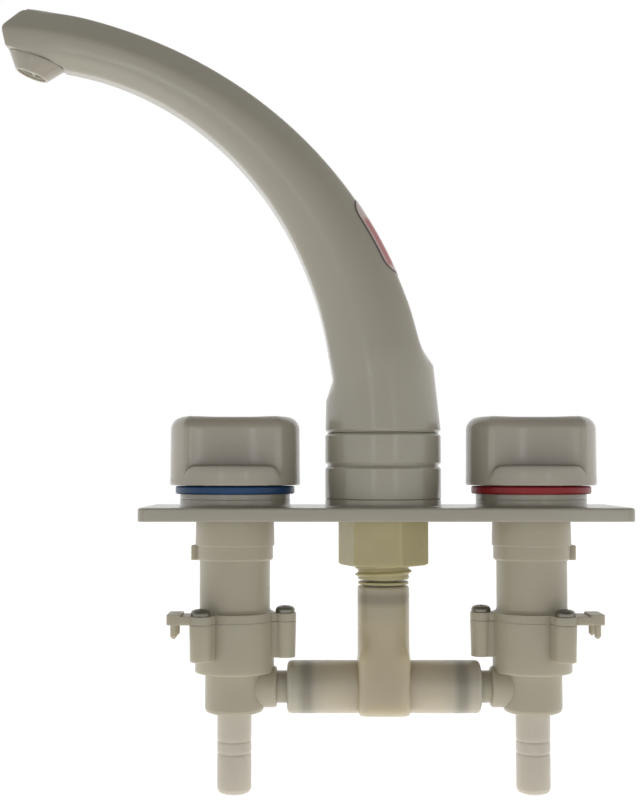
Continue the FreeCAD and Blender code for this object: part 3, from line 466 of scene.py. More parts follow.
# %% Hollow underside and holes
hollows = []
end_x, end_y = PLATE_X - PLATE_WALL, PLATE_Y - PLATE_WALL
for x_low, x_high in ((-end_x, -RIB_X - RIB), (RIB - RIB_X, RIB_X - RIB), (RIB_X + RIB, end_x)):
    for y_low, y_high in ((-end_y, -RIB), (RIB, end_y)):
        hollow = block(x_low, x_high, y_low, y_high, -1, 2.0, upright=1.5)
        hollows.append(boolean(hollow, [moved(bar(radius, -2, 3), x) for x, radius in BOSSES], "DIFFERENCE"))
holes = [bar(STEM_HOLE, -1, 9)] + [moved(bar(VALVE_HOLE, -1, 9), x) for x in (-VALVE_X, VALVE_X)]
boolean(plate, hollows + holes, "DIFFERENCE")
placed(plate, "plate", "fixed", ["base_plate"], "white_shell", abs_spout)

# %% [markdown]
# ## The collar
# The collar is a plain ring that carries the spout. A V groove runs round its middle, and its rims are
# bevelled, so that the joint with the spout reads as a fine dark line between two light ones.

# %% Spout collar
outline = [(15.2, BOSS_TOP), (COLLAR - 0.4, BOSS_TOP), (COLLAR, BOSS_TOP + 0.4), (COLLAR, 17.8),
           (COLLAR - 1.0, 18.9), (COLLAR, 20.0), (COLLAR, COLLAR_TOP - 0.9), (COLLAR - 0.9, COLLAR_TOP),
           (15.2, COLLAR_TOP)]
collar = lathe("collar", outline, 0.12, 160)
placed(collar, "collar", "fixed", ["spout_collar"], "white_shell", abs_spout)

# %% [markdown]
# ## The spout
# The spout grows out of the round collar, leans over a sloping shoulder and becomes a long horn that thins
# toward its tip. The horn has a flat back and bevelled corners, wider above than below. A subdivision cage
# would be quick but would miss its measured outline. Here its cross section is a formula: a blend of an oval,
# a flat and two bevels. Sections are placed along the horn, closely spaced rings are drawn through them, and
# the tip is cut.

# %% Sections of the spout
FAN_X, FAN_Z, FAN_START, FAN_END = -140.0, 34.0, 9.0, 89.0
HORN_OUTER, HORN_INNER = (155.5, 151.7, 146.1, 150.9), (122.9, 124.9, 133.5, 127.9)
HORN_DEPTH, SHOULDER_DEPTH, TIP_START = 16.6, 22.0, 79
UPPER_BEVEL, UPPER_WIDENS, LOWER_BEVEL = (5.6, 5.6), 3.4, (4.2, 5.2)
AROUND, EDGE_SHARPNESS = 176, 30


def section(outer, inner, depth, fullness, bevels):
    """Ring of points between the outer and the inner point of the side view, with two (tall, deep) bevels."""
    middle, half = (outer + inner) * 0.5, (outer - inner) * 0.5
    height, out = half.length, half.normalized()
    ring = []
    for step in range(AROUND):
        angle = 2 * math.pi * step / AROUND
        along, aside = math.cos(angle), abs(math.sin(angle))
        oval = math.hypot(along / (fullness * height), aside / (depth / 2))
        reach = 1 / oval
        if bevels:
            tall, deep = bevels[0] if along > 0 else bevels[1]
            slanted = (abs(along) / tall + aside / deep) / (height / tall + depth / (2 * deep) - 1)
            limits = (oval, abs(along) / height, slanted)
            reach = sum(limit ** EDGE_SHARPNESS for limit in limits) ** (-1 / EDGE_SHARPNESS)
        ring.append(middle + out * (reach * along) + Vector((0, reach * math.sin(angle), 0)))
    return ring


def fan_reach(values, t):
    """Distance from the fan's centre on a smooth curve, at the share t of the way along the horn."""
    s = 1 - t
    return values[0] * s ** 3 + 3 * values[1] * s * s * t + 3 * values[2] * s * t * t + values[3] * t ** 3


def horn_section(degrees, proud=0.0):
    """Section of the horn at an angle of the fan, or of a skin that stands proud of it."""
    t = (degrees - FAN_START) / (FAN_END - FAN_START)
    way = Vector((math.cos(math.radians(degrees)), 0, math.sin(math.radians(degrees))))
    centre = Vector((FAN_X, 0, FAN_Z))
    outer = centre + way * (fan_reach(HORN_OUTER, t) + proud)
    inner = centre + way * (fan_reach(HORN_INNER, t) - proud)
    depth = HORN_DEPTH + SHOULDER_DEPTH * max(0, 1 - t) ** 1.6 - 0.35 * max(0, degrees - TIP_START)
    upper = (UPPER_BEVEL[0] + UPPER_WIDENS * min(1, max(0, t)), UPPER_BEVEL[1])
    return section(outer, inner, depth + 2 * proud, 1.22 + 0.38 * min(1, t), (upper, LOWER_BEVEL))


def through(rows, steps):
    """Rings between the given ones on a smooth curve, spaced by the distance between them."""
    def middle(row):
        return sum(row, Vector()) / len(row)
    places = [0.0]
    for k in range(1, len(rows)):
        places.append(places[-1] + (middle(rows[k]) - middle(rows[k - 1])).length)
    slopes = []
    for k in range(len(rows)):
        a, b = max(0, k - 1), min(len(rows) - 1, k + 1)
        slopes.append([(q - p) / (places[b] - places[a]) for p, q in zip(rows[a], rows[b])])
    made = []
    for k in range(len(rows) - 1):
        span = places[k + 1] - places[k]
        for step in range(steps):
            s = step / steps
            w = (2 * s ** 3 - 3 * s * s + 1, s ** 3 - 2 * s * s + s, 3 * s * s - 2 * s ** 3, s ** 3 - s * s)
            four = zip(rows[k], slopes[k], rows[k + 1], slopes[k + 1])
            made.append([p * w[0] + m * (w[1] * span) + q * w[2] + n * (w[3] * span) for p, m, q, n in four])
    return made + [rows[-1]]


def between(first, last, steps):
    return [[p + (q - p) * (k / steps) for p, q in zip(first, last)] for k in range(steps)]


def side_points(*places):
    """Points of the side view, given as (x, z)."""
    return [Vector((x, 0, z)) for x, z in places]

# %% Rings of the spout
FOOT, FOOT_LOW = 20.45, 19.55
foot = section(*side_points((FOOT, 31.5), (-FOOT, 31.5)), 2 * FOOT, 1.0, None)
foot_low = [Vector((p.x * FOOT_LOW / FOOT, p.y * FOOT_LOW / FOOT, SPOUT_LOW - 0.15)) for p in foot]
shoulder = section(*side_points((18.0, 54.4), (-20.2, 41.8)), 39.2, 1.0, None)
horn_start = section(*side_points((12.7, 62.0), (-17.8, 49.4)), 38.6, 1.22, (UPPER_BEVEL, LOWER_BEVEL))
horn_rows = [horn_start] + [horn_section(d) for d in (16, 23, 31, 39, 47, 55, 63, 71, 79, 86, 93)]
rings = [foot_low] + between(foot, shoulder, 8) + between(shoulder, horn_start, 4) + through(horn_rows, 9)
print(len(rings), "rings of", AROUND, "points")

# %% [markdown]
# The rings become one skin, closed at both ends. The tip is shaped like the real one by cutting away all that
# lies outside its front, its bevel and the seam where the nozzle meets it. A narrow bevel then rounds the cut
# edges.

# %% Spout skin and tip
def skin(rows):
    """Points and faces of a closed skin through rings of points."""
    count = len(rows[0])
    points = [point for row in rows for point in row]
    faces = [list(range(count)), [len(points) - count + k for k in range(count)]]
    for k in range(len(rows) - 1):
        for step in range(count):
            a, b = k * count + step, k * count + (step + 1) % count
            faces.append([a, b, b + count, a + count])
    return points, faces


SEAM_LEFT, SEAM_RIGHT = (-134.7, 168.9), (-114.5, 161.6)
TIP_FRONT = [(-135.95, 174.31), (-135.95, 175.71), (-135.3, 176.96), (-130.78, 182.17), (-129.67, 182.98),
             (-128.3, 183.2)]
BEYOND_LEFT, BEYOND_TOP, BEYOND_LOW, ABOVE_COLLAR = -190, 223.3, 121.6, 0.15
spout = solid("spout", *skin(rings), 32)
beyond = [SEAM_RIGHT, SEAM_LEFT, *TIP_FRONT, (TIP_FRONT[-1][0], BEYOND_TOP), (BEYOND_LEFT, BEYOND_TOP),
          (BEYOND_LEFT, BEYOND_LOW), (SEAM_RIGHT[0], BEYOND_LOW)]
cut_rows = [[Vector((x, y, z)) for x, z in beyond] for y in (-60, 60)]
boolean(spout, [solid("beyond", *skin(cut_rows))], "DIFFERENCE")


def cut_edge(edge):
    """Whether an edge was left by the cut: sharp, and far above the collar."""
    sharp = len(edge.link_faces) == 2 and edge.calc_face_angle() > math.radians(24)
    return sharp and edge.verts[0].co.z > ABOVE_COLLAR


smooth(bevelled(spout, 0.45, 3, cut_edge, clamp=True), 32)
placed(spout, "spout", "spout", ["spout_body"], "white_shell", abs_spout)

# %% [markdown]
# ## The nozzle and its flow straightener
# A short cone points down from the tip, oval at the spout and round at its mouth. Inside the mouth sits a
# small ring with a cross, which straightens the flow. Both are made on the Z axis and then laid on the seam's
# axis.

# %% Nozzle
seam_left, seam_right = side_points(SEAM_LEFT, SEAM_RIGHT)
seam_middle, seam = (seam_left + seam_right) * 0.5, seam_right - seam_left
seam_turn = math.degrees(math.atan2(-seam.z, seam.x))
NOZZLE_LONG, NOZZLE_DEEP, MOUTH, CONE_TOP, CONE = 10.5, 7.2, 6.1, -0.3, 5.4


def on_seam(obj):
    return moved(obj, seam_middle.x, 0, seam_middle.z, seam_turn, "Y")


def oval_ring(length, depth, height, count=112):
    angles = [2 * math.pi * k / count for k in range(count)]
    return [Vector((length * math.cos(angle), depth * math.sin(angle), height)) for angle in angles]


nozzle_rows = [oval_ring(10.2, 6.9, -0.02), oval_ring(10.45, 7.14, -0.06)]
for s in (0, 0.25, 0.5, 0.75, 0.96):
    length, depth = NOZZLE_LONG + (MOUTH - NOZZLE_LONG) * s, NOZZLE_DEEP + (MOUTH - NOZZLE_DEEP) * s
    nozzle_rows.append(oval_ring(length, depth, CONE_TOP - CONE * s))
for radius, height in ((6.05, -5.82), (5.85, -5.9), (5.35, -5.9), (5.22, -5.75), (5.22, -2.5)):
    nozzle_rows.append(oval_ring(radius, radius, height))
nozzle = on_seam(solid("nozzle", *skin(nozzle_rows), 35))
placed(nozzle, "nozzle", "spout", ["spout_nozzle"], "white_shell", abs_knob)

straightener = lathe("straightener", [(4.4, -5.1), (5.2, -5.1), (5.2, -2.5), (4.4, -2.5)], 0.12, 64)
boolean(straightener, [block(-x, x, -y, y, -5.0, -2.6) for x, y in ((4.7, 0.45), (0.45, 4.7))], "UNION")
placed(on_seam(straightener), "flow_straightener", "spout", ["nozzle_insert"], "white_insert", acetal_white)

# %% [markdown]
# ## The label
# A thin film sticks to the outer side of the spout. It could be projected with a shrinkwrap modifier. As the
# skin is a formula, the label is simply drawn on it: each point of a rounded rectangle is found on a skin
# that stands 0.24 mm proud of the spout, and a flat coordinate is kept for the print.

# %% Label
LABEL_PLACE, LABEL_TURN, LABEL_LENGTH, LABEL_WIDTH, LABEL_CORNER = 25.5, -23.0, 31.5, 15.0, 7.0
FAN_DEGREES, TURN_DEGREES = 57.3 / 154, 57.3 / 17.5    # for one millimetre along the horn, and round it
LONG_CELLS, WIDE_CELLS, LABEL_TOP, LABEL_UNDER = 28, 16, 0.24, 0.02


def on_skin(degrees, turn, proud):
    """Point at a place along the fan, turned from the horn's outer side, and standing proud of its skin."""
    ring = horn_section(degrees, proud)
    place = (turn / 360 * AROUND) % AROUND
    k, s = int(place), place - int(place)
    return ring[k].lerp(ring[(k + 1) % AROUND], s)


def label_rows(proud):
    """Rows of (along, across, distance from the edge, point) over the label."""
    rows = []
    for i in range(LONG_CELLS + 1):
        u = (i / LONG_CELLS - 0.5) * LABEL_LENGTH
        over = max(0, abs(u) - (LABEL_LENGTH / 2 - LABEL_CORNER))
        half = LABEL_WIDTH / 2 - LABEL_CORNER + math.sqrt(max(0.04, LABEL_CORNER ** 2 - over ** 2))
        row = []
        for j in range(WIDE_CELLS + 1):
            v = (j / WIDE_CELLS - 0.5) * 2 * half
            point = on_skin(LABEL_PLACE + u * FAN_DEGREES, LABEL_TURN + v * TURN_DEGREES, proud)
            row.append((u, v, min(half - abs(v), LABEL_LENGTH / 2 - abs(u)), point))
        rows.append(row)
    return rows


entries = [entry for row in label_rows(LABEL_TOP) + label_rows(LABEL_UNDER) for entry in row]
across = WIDE_CELLS + 1
under = (LONG_CELLS + 1) * across
faces = []
for i in range(LONG_CELLS):
    for j in range(WIDE_CELLS):
        a = i * across + j
        faces.append([a, a + 1, a + 1 + across, a + across])
        faces.append([under + a + across, under + a + 1 + across, under + a + 1, under + a])
border = list(range(across)) + [i * across + WIDE_CELLS for i in range(1, LONG_CELLS + 1)]
border += [LONG_CELLS * across + j for j in range(WIDE_CELLS - 1, -1, -1)]
border += [i * across for i in range(LONG_CELLS - 1, 0, -1)]
for a, b in zip(border, border[1:] + border[:1]):
    faces.append([a, b, b + under, a + under])
label = solid("label", [entry[3] for entry in entries], faces)
flat, rim = label.data.uv_layers.new(name="flat"), label.data.uv_layers.new(name="rim")
for loop in label.data.loops:
    u, v, inward, _ = entries[loop.vertex_index]
    flat.data[loop.index].uv, rim.data[loop.index].uv = (u * UV_MM, v * UV_MM), (inward * UV_MM, 0)
placed(label, "label", "spout", ["blank_label"], "label_film", film)

# %% [markdown]
# ## The knobs
# Each knob is a drum with a big grip hollowed out of its front and its back, above a full round skirt with
# rounded shoulders. Cutting these with Booleans leaves hard edges, so the knob is drawn on a grid round its
# axis. At each angle the wall is the nearer of the drum and the grip, rounded where they meet.

# %% Outlines of the knob
KNOB_STEPS, SKIRT, DRUM, RIM_DRUM, LIP = 192, 23.0, 22.94, 22.82, 0.7
GRIP_FROM_AXIS, GRIP, WALL_FOOT, RIM = 61.375, 48, 0.8, 4.6
SHELF, SHOULDER_X, SHOULDER = 18.77, 12.5, 3.8
DISH, DISH_DEEP, CAP_HOLE, CAP_SEAT, KNOB_WALL = 18.2, 0.4, 5.05, KNOB_TOP - 1.7, 2.3


def wall_distance(angle, inset, drum=DRUM):
    """Radius of the knob's wall, which is the nearer of the drum and the grip."""
    aim = GRIP_FROM_AXIS * abs(math.sin(angle))
    room = aim ** 2 - (GRIP_FROM_AXIS ** 2 - (GRIP + inset) ** 2)
    grip = aim - math.sqrt(room) if room > 0 else 1e3
    return ((drum - inset) ** -44 + grip ** -44) ** (-1 / 44)


def shelf_height(x):
    """Top of the skirt, which drops at its two shoulders."""
    over = min(SHOULDER, max(0, abs(x) - SHOULDER_X))
    return SHELF - (SHOULDER - math.sqrt(max(0, SHOULDER ** 2 - over ** 2)))


def dish_height(radius):
    return KNOB_TOP - DISH_DEEP + DISH_DEEP * min(1, radius / DISH) ** 2


def quarter(degrees):
    """How far a quarter round has turned in from its start, and how far it still has to rise, from 0 to 1."""
    return 1 - math.cos(math.radians(degrees)), 1 - math.sin(math.radians(degrees))

# %% Knobs
knob_points, knob_faces = [], []
for step in range(KNOB_STEPS):
    angle = 2 * math.pi * step / KNOB_STEPS
    ca, sa = math.cos(angle), math.sin(angle)
    wall = wall_distance(angle, 0)
    skirt_low, skirt_high = KNOB_LOW + 0.5, shelf_height(SKIRT * ca) - LIP
    column = [(SKIRT - 2.4, KNOB_LOW + 0.02), (SKIRT - 0.4, KNOB_LOW), (SKIRT - 0.1, KNOB_LOW + 0.12)]
    column += [(SKIRT, skirt_low + (skirt_high - skirt_low) * s) for s in (0, 0.3, 0.6, 1.0)]
    inward = DRUM - wall
    lip, foot_round = min(LIP, inward), min(WALL_FOOT, max(0, inward - LIP))
    for a in (30, 60, 90):
        r = DRUM - lip * quarter(a)[0]
        column.append((r, shelf_height(r * ca) - LIP * quarter(a)[1]))
    for s in (0.2, 0.4, 0.6, 0.8):
        r = DRUM - lip - max(0, inward - lip - WALL_FOOT) * s
        column.append((r, shelf_height(r * ca)))
    for a in (0, 30, 60, 90):
        r = wall + foot_round * quarter(a)[1]
        column.append((r, shelf_height(r * ca) + foot_round * quarter(a)[0]))
    start = column[-1][1]
    column += [(wall - 0.12 * s, start + (KNOB_TOP - RIM - start) * s) for s in (0.25, 0.5, 0.75)]
    for a in range(0, 91, 10):
        r, z = wall_distance(angle, RIM * quarter(a)[0], RIM_DRUM), KNOB_TOP - RIM * quarter(a)[1]
        column.append((r, min(z, dish_height(r)) if r < DISH else z))
    rim = column[-1][0]
    for s in (0.25, 0.5, 0.75, 1):
        r = rim + (CAP_HOLE + 0.3 - rim) * s
        column.append((r, dish_height(r)))
    column += [(CAP_HOLE + 0.07, dish_height(5.1) - 0.12), (CAP_HOLE, dish_height(5) - 0.4),
               (CAP_HOLE, CAP_SEAT)]
    roof_wall = wall_distance(angle, KNOB_WALL)
    under = [(roof_wall, KNOB_LOW + 0.3), (roof_wall, KNOB_TOP - 2.7)]
    knob_points += [(r * ca, r * sa, z) for r, z in under[::-1] + column]
rows = len(knob_points) // KNOB_STEPS
for step in range(KNOB_STEPS):
    a, b = step * rows, (step + 1) % KNOB_STEPS * rows
    knob_faces += [[a + k, b + k, b + k + 1, a + k + 1] for k in range(rows - 1)]
for end in (0, rows - 1):
    knob_faces.append([step * rows + end for step in range(KNOB_STEPS)])
knob = solid("knob", knob_points, knob_faces, 50)
on_both_sides(knob, "knob", "knob_set", ["white_shell"], [abs_knob])

cap = lathe("cap", [(0, CAP_SEAT), (4.98, CAP_SEAT), (4.98, KNOB_TOP - 0.47), (0, KNOB_TOP - 0.41)], 0.3, 64)
on_both_sides(cap, "knob_cap", "knob_set", ["white_shell"], [abs_knob])

# %% [markdown]
# ## Colour rings and clamp nuts
# Under each knob lies a thin ring, blue for cold and red for hot, on the clamp nut that holds the valve in
# the plate. The nut's rim shows as a pale disc on the boss.

# %% Rings
RING, RING_LOW, RING_TOP, CHAMFER = 21.05, 9.02, 11.72, 0.4
ring_outline = [(16.1, RING_LOW), (RING - CHAMFER, RING_LOW), (RING, RING_LOW + CHAMFER),
                (RING, RING_TOP - CHAMFER), (RING - CHAMFER, RING_TOP), (16.1, RING_TOP)]
ring = lathe("ring", ring_outline, 0.2, 128)
on_both_sides(ring, "index_ring", "fixed", ["blue_plastic", "red_plastic"], [abs_blue, abs_red])
nut_outline = [(11.1, BOSS_TOP), (VALVE_BOSS, BOSS_TOP), (VALVE_BOSS, 9.0), (16.0, 9.0), (16.0, 11.4),
               (11.1, 11.4)]
on_both_sides(lathe("nut", nut_outline, 0.15, 128), "clamp_nut", "fixed", ["white_shell"], [abs_spout])

# %% [markdown]
# ## The valve bodies
# The upper half of each valve is a barrel that hangs from the plate: a shoulder, a band, a lug on the outer
# side, and a flange with three ears for screws. An arm with two pegs carries a small switch that starts the
# pump. The turned core, ears, lug and arm are joined, so that their edges meet as in the moulding.

# %% Ears for the screws
def ear_places(turn):
    """Angle and place of each of a valve's three ears."""
    angles = (turn, turn - 120, turn - 240)
    return [(angle, *on_circle(EAR_CIRCLE, math.radians(angle))) for angle in angles]


def ears(turn, low_radius, low, high):
    """Three ears with their webs, round the flange."""
    made = []
    for angle, x, y in ear_places(turn):
        outline = [(0, low), (low_radius, low), (EAR, high), (0, high)]
        made.append(moved(lathe("ear", outline, 0.3, 48), x, y))
        made.append(moved(block(0, EAR_CIRCLE, -2.9, 2.9, low + 0.02, high - 0.02, edge=0.25), turn=angle))
    return made

# %% Valve bodies
valve_outline = [(5.05, 12.4), (10.4, 12.4), (11.0, 11.8), (11.0, 0), (13.75, 0), (13.95, -9.2),
                 (13.45, -9.2), (13.45, -13.8), (12.85, -14.4), (12.4, -14.4), (12.4, FLANGE_TOP + 1.3),
                 (12.79, FLANGE_TOP + 0.39), (13.7, FLANGE_TOP), (13.9, FLANGE_TOP), (13.9, JOINT),
                 (5.05, JOINT)]
ARM_X, ARM_Y = -22.3, (-16.8, -4.8)
peg = [(0, -4.7), (0.4, -4.7), (1.15, -3.8), (1.15, 1.0), (0, 1.0)]
for side, turn in EAR_TURNS.items():
    parts = ears(turn, EAR, JOINT, FLANGE_TOP)
    parts.append(block(-15.3, -9, -3.0, 3.0, -14.3, -9.21, edge=0.3, upright=0.5))
    parts.append(block(ARM_X, -11.5, *ARM_Y, JOINT, FLANGE_TOP - 0.01, edge=0.3, upright=0.8))
    parts.append(block(ARM_X, -17.3, *ARM_Y, FLANGE_TOP - 1.0, FLANGE_TOP + 0.7, edge=0.25, upright=0.8))
    parts += [moved(lathe("peg", peg, 0.15, 32), -19.9, y, JOINT) for y in (-15.55, -6.05)]
    valve = boolean(lathe("valve", valve_outline, 0.15, 112), parts, "UNION")
    on_side(valve, side, "valve_body", "fixed", "valve_plastic", acetal)

# %% [markdown]
# ## The lower housings
# The lower half is screwed on from below. It has the same ears, drawn down as posts, a round cup, and a side
# outlet that plugs into the tee. Its top meets the flange of the valve body, so the joint shows as a hairline
# only.

# %% Lower housings
def along_x(obj, start, height):
    """Lay a piece made on the Z axis along X."""
    return moved(obj, start, 0, height, 90, "Y")


housing_outline = [(0, JOINT - 0.01), (13.9, JOINT - 0.01), (13.9, CUP_TOP), (10.35, CUP_TOP),
                   (10.35, CUP_LOW + 1.5), (9.9, CUP_LOW + 0.45), (8.85, CUP_LOW), (6.05, CUP_LOW),
                   (6.05, CUP_LOW + 2.0), (0, CUP_LOW + 2.0)]
outlet = [(0, 0), (7.15, 0), (7.15, 14.3), (6.55, 14.9), (5.6, 14.9), (5.6, 19.15), (6.75, 19.15),
          (6.75, 28.55), (5.95, 29.35), (3.2, 29.35), (3.2, 12), (0, 12)]
for side, turn in EAR_TURNS.items():
    parts = ears(turn, 3.55, -48.1, JOINT - 0.01) + [along_x(lathe("outlet", outlet, 0.2, 80), 0, OUTLET)]
    housing = boolean(lathe("housing", housing_outline, 0.08, 112), parts, "UNION")
    # The housing gets the lighter copy of the acetal, painted light from the floor below it.
    on_side(housing, side, "lower_housing", "fixed", "valve_plastic", acetal_cup_painted_lighter)

# %% [markdown]
# ## The screws and the inlets
# Three screws clamp each valve. Their heads are small and dull, with a cross slot. The inlet below each cup
# is a thin tube with two shallow grooves for a push-fit hose.

# %% Screws and inlet tails
SLOT_LOW, SLOT_TOP = FLANGE_TOP + 1.1, -29.0
head = [(0, FLANGE_TOP + 0.01), (3.4, FLANGE_TOP + 0.01), (3.4, FLANGE_TOP + 1.1), (2.9, FLANGE_TOP + 1.9),
        (1.85, FLANGE_TOP + 2.3), (0, FLANGE_TOP + 2.3)]
for side, turn in EAR_TURNS.items():
    joined = bmesh.new()
    for angle, x, y in ear_places(turn):
        bars = [block(-x, x, -y, y, SLOT_LOW, SLOT_TOP) for x, y in ((1.9, 0.45), (0.45, 1.9))]
        screw = boolean(lathe("screw", head, 0.2, 48), [boolean(bars[0], bars[1:], "UNION")], "DIFFERENCE")
        moved(moved(screw, turn=angle * 2), x, y)
        joined.from_mesh(screw.data)
        bpy.data.objects.remove(screw)
    screws = solid("screws", [], [])
    joined.to_mesh(screws.data)
    joined.free()
    on_side(smooth(screws), side, "housing_screws", "fixed", "screw_steel", screw_steel)

tail = [(3.75, -66), (3.75, INLET_END), (4.2, INLET_END), (5.46, INLET_END + 0.54), (INLET, INLET_END + 1.8)]
for middle in (-81.6, -77.3):
    tail += [(INLET, middle - 0.65), (INLET - 0.3, middle), (INLET, middle + 0.65)]
tail += [(INLET, -66)]
# The tails get the lightest copy of the acetal, painted light from the floor below them.
on_both_sides(lathe("tail", tail, 0.25, 80), "inlet_tail", "fixed", ["valve_plastic"], [acetal_tail_painted_lighter])

# %% [markdown]
# ## The nut and the threaded stem
# The spout's stem passes through the worktop, and a six-sided nut draws it down. The thread is 20 mm across
# and 2.5 mm from crest to crest, and only its last turns show. A true spiral is drawn: at each angle and
# height the radius follows how far that point is along the thread.

# %% Nut and stem
HEXAGON, NUT_LOW, NUT_TOP, NUT_EDGE, NUT_FACE, NUT_BORE = 28 / math.sqrt(3), -16, -0.42, 0.5, 13.8, 10.12
corners = [math.radians(60 * k - 10) for k in range(6)]
nut_rows = [[(*on_circle(HEXAGON, a), z) for a in corners] for z in (NUT_LOW, NUT_TOP)]
big_nut = solid("nut", *skin(nut_rows))
bevelled(big_nut, NUT_EDGE, 3, lambda edge: rise(edge) > 10)
cone = [(0, NUT_LOW), (15.0, NUT_LOW), (17.0, -15.0), (17.0, -0.9), (16.0, NUT_TOP), (0, NUT_TOP)]
boolean(big_nut, [lathe("cone", cone, 0.2, 112)], "INTERSECT")
boolean(big_nut, [lathe("face", [(0, -1), (NUT_FACE, -1), (NUT_FACE, 0), (0, 0)], 0.1, 112)], "UNION")
boolean(big_nut, [bar(NUT_BORE, -17, 1)], "DIFFERENCE")
placed(big_nut, "hexagon_nut", "fixed", ["stem_nut"], "natural_nylon", nylon)

# %% Threaded stem and washer
PITCH, CREST, DEPTH, LAST_CREST, NECK = 2.5, 10.1, 1.15, -19.5, 6
THREAD_LOW, THREAD_TOP, THREAD_STEPS = -21.0, -0.3, 120
thread_rows = []
height = THREAD_LOW
while height < THREAD_TOP:
    row = []
    for step in range(THREAD_STEPS):
        turn = step / THREAD_STEPS
        place = ((height - LAST_CREST) / PITCH - turn) % 1.0
        ridge = min(1.0, max(0.0, 1.6 * (1 - abs(2 * place - 1)) - 0.5))
        fade = min(1.0, max(0.0, (height - THREAD_LOW - 0.4) / 0.8))
        radius = CREST - DEPTH + DEPTH * ridge * fade
        row.append(Vector((*on_circle(radius, 2 * math.pi * turn), height)))
    thread_rows.append(row)
    height += PITCH / 14
neck = []
for p in thread_rows[0]:
    radius = math.hypot(p.x, p.y)
    neck.append(Vector((p.x * NECK / radius, p.y * NECK / radius, THREAD_LOW)))
neck_low = [Vector((p.x, p.y, -30.0)) for p in neck]
stem = solid("stem", *skin([neck_low, neck] + thread_rows), 60)
placed(stem, "threaded_stem", "fixed", ["mounting_stem"], "natural_nylon", nylon)
washer = lathe("washer", [(6.05, -22.78), (8.9, -22.78), (8.9, -21.92), (6.05, -21.92)], 0.2, 96)
placed(washer, "thin_washer", "fixed", ["stem_washer"], "white_insert", nylon)

# %% [markdown]
# ## The tee
# The tee feeds both waters into the stem. Its arms and its upright are round tubes with rolled ends, open
# where the valves and the stem plug in. The upright stands in front of the arms down to its foot, so its
# lower half is drawn fuller and the arms are drawn in beside it before the two are joined.

# %% Tee
ARM, TRUNK, TRUNK_LOW, SOCKET, DRAWN_IN = 9.2, 9.13, -68.0, 6.8, 0.80


def rolled(radius, end, way):
    """Half outline of a tube's rolled end, from the axis out to its wall."""
    return [(0, end), (radius - 1.4, end), (radius - 0.42, end + 0.42 * way), (radius, end + 1.4 * way)]


def eased_step(value, low, high):
    """0 below low, 1 above high, and a smooth rise between them."""
    t = min(1.0, max(0.0, (value - low) / (high - low)))
    return t * t * (3 - 2 * t)


arm = rolled(ARM, -TEE_REACH, 1) + [(ARM, x) for x in (-24, -20, -16, -12, -8, 0, 8, 12, 16, 20, 24)]
tee = along_x(lathe("tee", arm + rolled(ARM, TEE_REACH, -1)[::-1], 0.5, 128), 0, OUTLET)
for vert in tee.data.vertices:
    vert.co.y *= DRAWN_IN + (1 - DRAWN_IN) * eased_step(abs(vert.co.x) / MM, 9, 20)
upright = rolled(TRUNK, TRUNK_LOW, 1) + [(TRUNK, z) for z in range(-65, -25, 2)]
upright += [(TRUNK, TEE_TOP - 0.5), (TRUNK - 0.5, TEE_TOP), (7.5, TEE_TOP), (7.5, TEE_TOP + 0.6),
            (0, TEE_TOP + 0.6)]
trunk = lathe("trunk", upright, 0.3, 128)
for vert in trunk.data.vertices:
    across, aside = abs(vert.co.x), abs(vert.co.y)
    radius = math.hypot(across, aside)
    if radius > 0:
        square = radius / (across ** 9 + aside ** 9) ** (1 / 9)
        fuller = 1 + (square - 1) * (1 - eased_step(vert.co.z / MM, -49.5, -40))
        vert.co.x, vert.co.y = vert.co.x * min(fuller, TRUNK * MM / max(across, 1e-9)), vert.co.y * fuller
boolean(tee, [trunk], "UNION")
sockets = [along_x(bar(SOCKET, 0, 12, 80), x, OUTLET) for x in (-TEE_REACH - 0.6, TEE_REACH - 11.4)]
boolean(tee, sockets + [bar(SOCKET, -34.8, -22.0, 80)], "DIFFERENCE")
placed(tee, "tee", "fixed", ["tee_piece"], "translucent_plastic", polypropylene)

# %% [markdown]
# ## Camera
# The photograph was taken from straight in front, from about half a metre, a little above the plate and
# tipped up by three degrees. How far the plate and the rings open up gave the distance, and the picture's
# width gave the lens.

# %% Camera
CAMERA_PLACE, CAMERA_TIP, LENS, FRAME_WIDTH = (-22.4, -460, 17.7), 93.06, 58.14, 36
camera = in_scene("camera", bpy.data.cameras.new("camera"))
camera.location = Vector(CAMERA_PLACE) * MM
camera.rotation_euler = (math.radians(CAMERA_TIP), 0, 0)
camera.data.lens, camera.data.sensor_width, camera.data.clip_start = LENS, FRAME_WIDTH, 10 * MM
bpy.context.scene.camera = camera
print("camera", CAMERA_PLACE, "mm, tipped to", CAMERA_TIP, "degrees")

# %% [markdown]
# ## Light and floor
# The photograph has a white background, and its light comes from the white floor and from low in front. Faces
# that look up are the darkest, and edges that look down the lightest. The world is white where the camera
# sees it and otherwise a soft sky: bright near the horizon in front, dim above it, even behind. The floor
# glows softly and keeps a faint shadow. Two narrow upright lamps in front draw the two fine highlights on the
# collar and the knobs.

# %% World
FLANK_LIGHT, WHITE = 0.15, (1, 1, 1, 1)
world = bpy.data.worlds.new("studio")
bpy.context.scene.world = world
tree = empty_tree(world)
rays = node(tree, "LightPath").outputs
way = node(tree, "SeparateXYZ", {"Vector": node(tree, "TexCoord").outputs["Generated"]}).outputs
aside = node(tree, "Math", {"operation": "ABSOLUTE", 0: way["X"]})
flank = node(tree, "MapRange", {**SMOOTH, "From Min": 0.55, "From Max": 0.95, "To Max": FLANK_LIGHT,
                                "Value": aside})


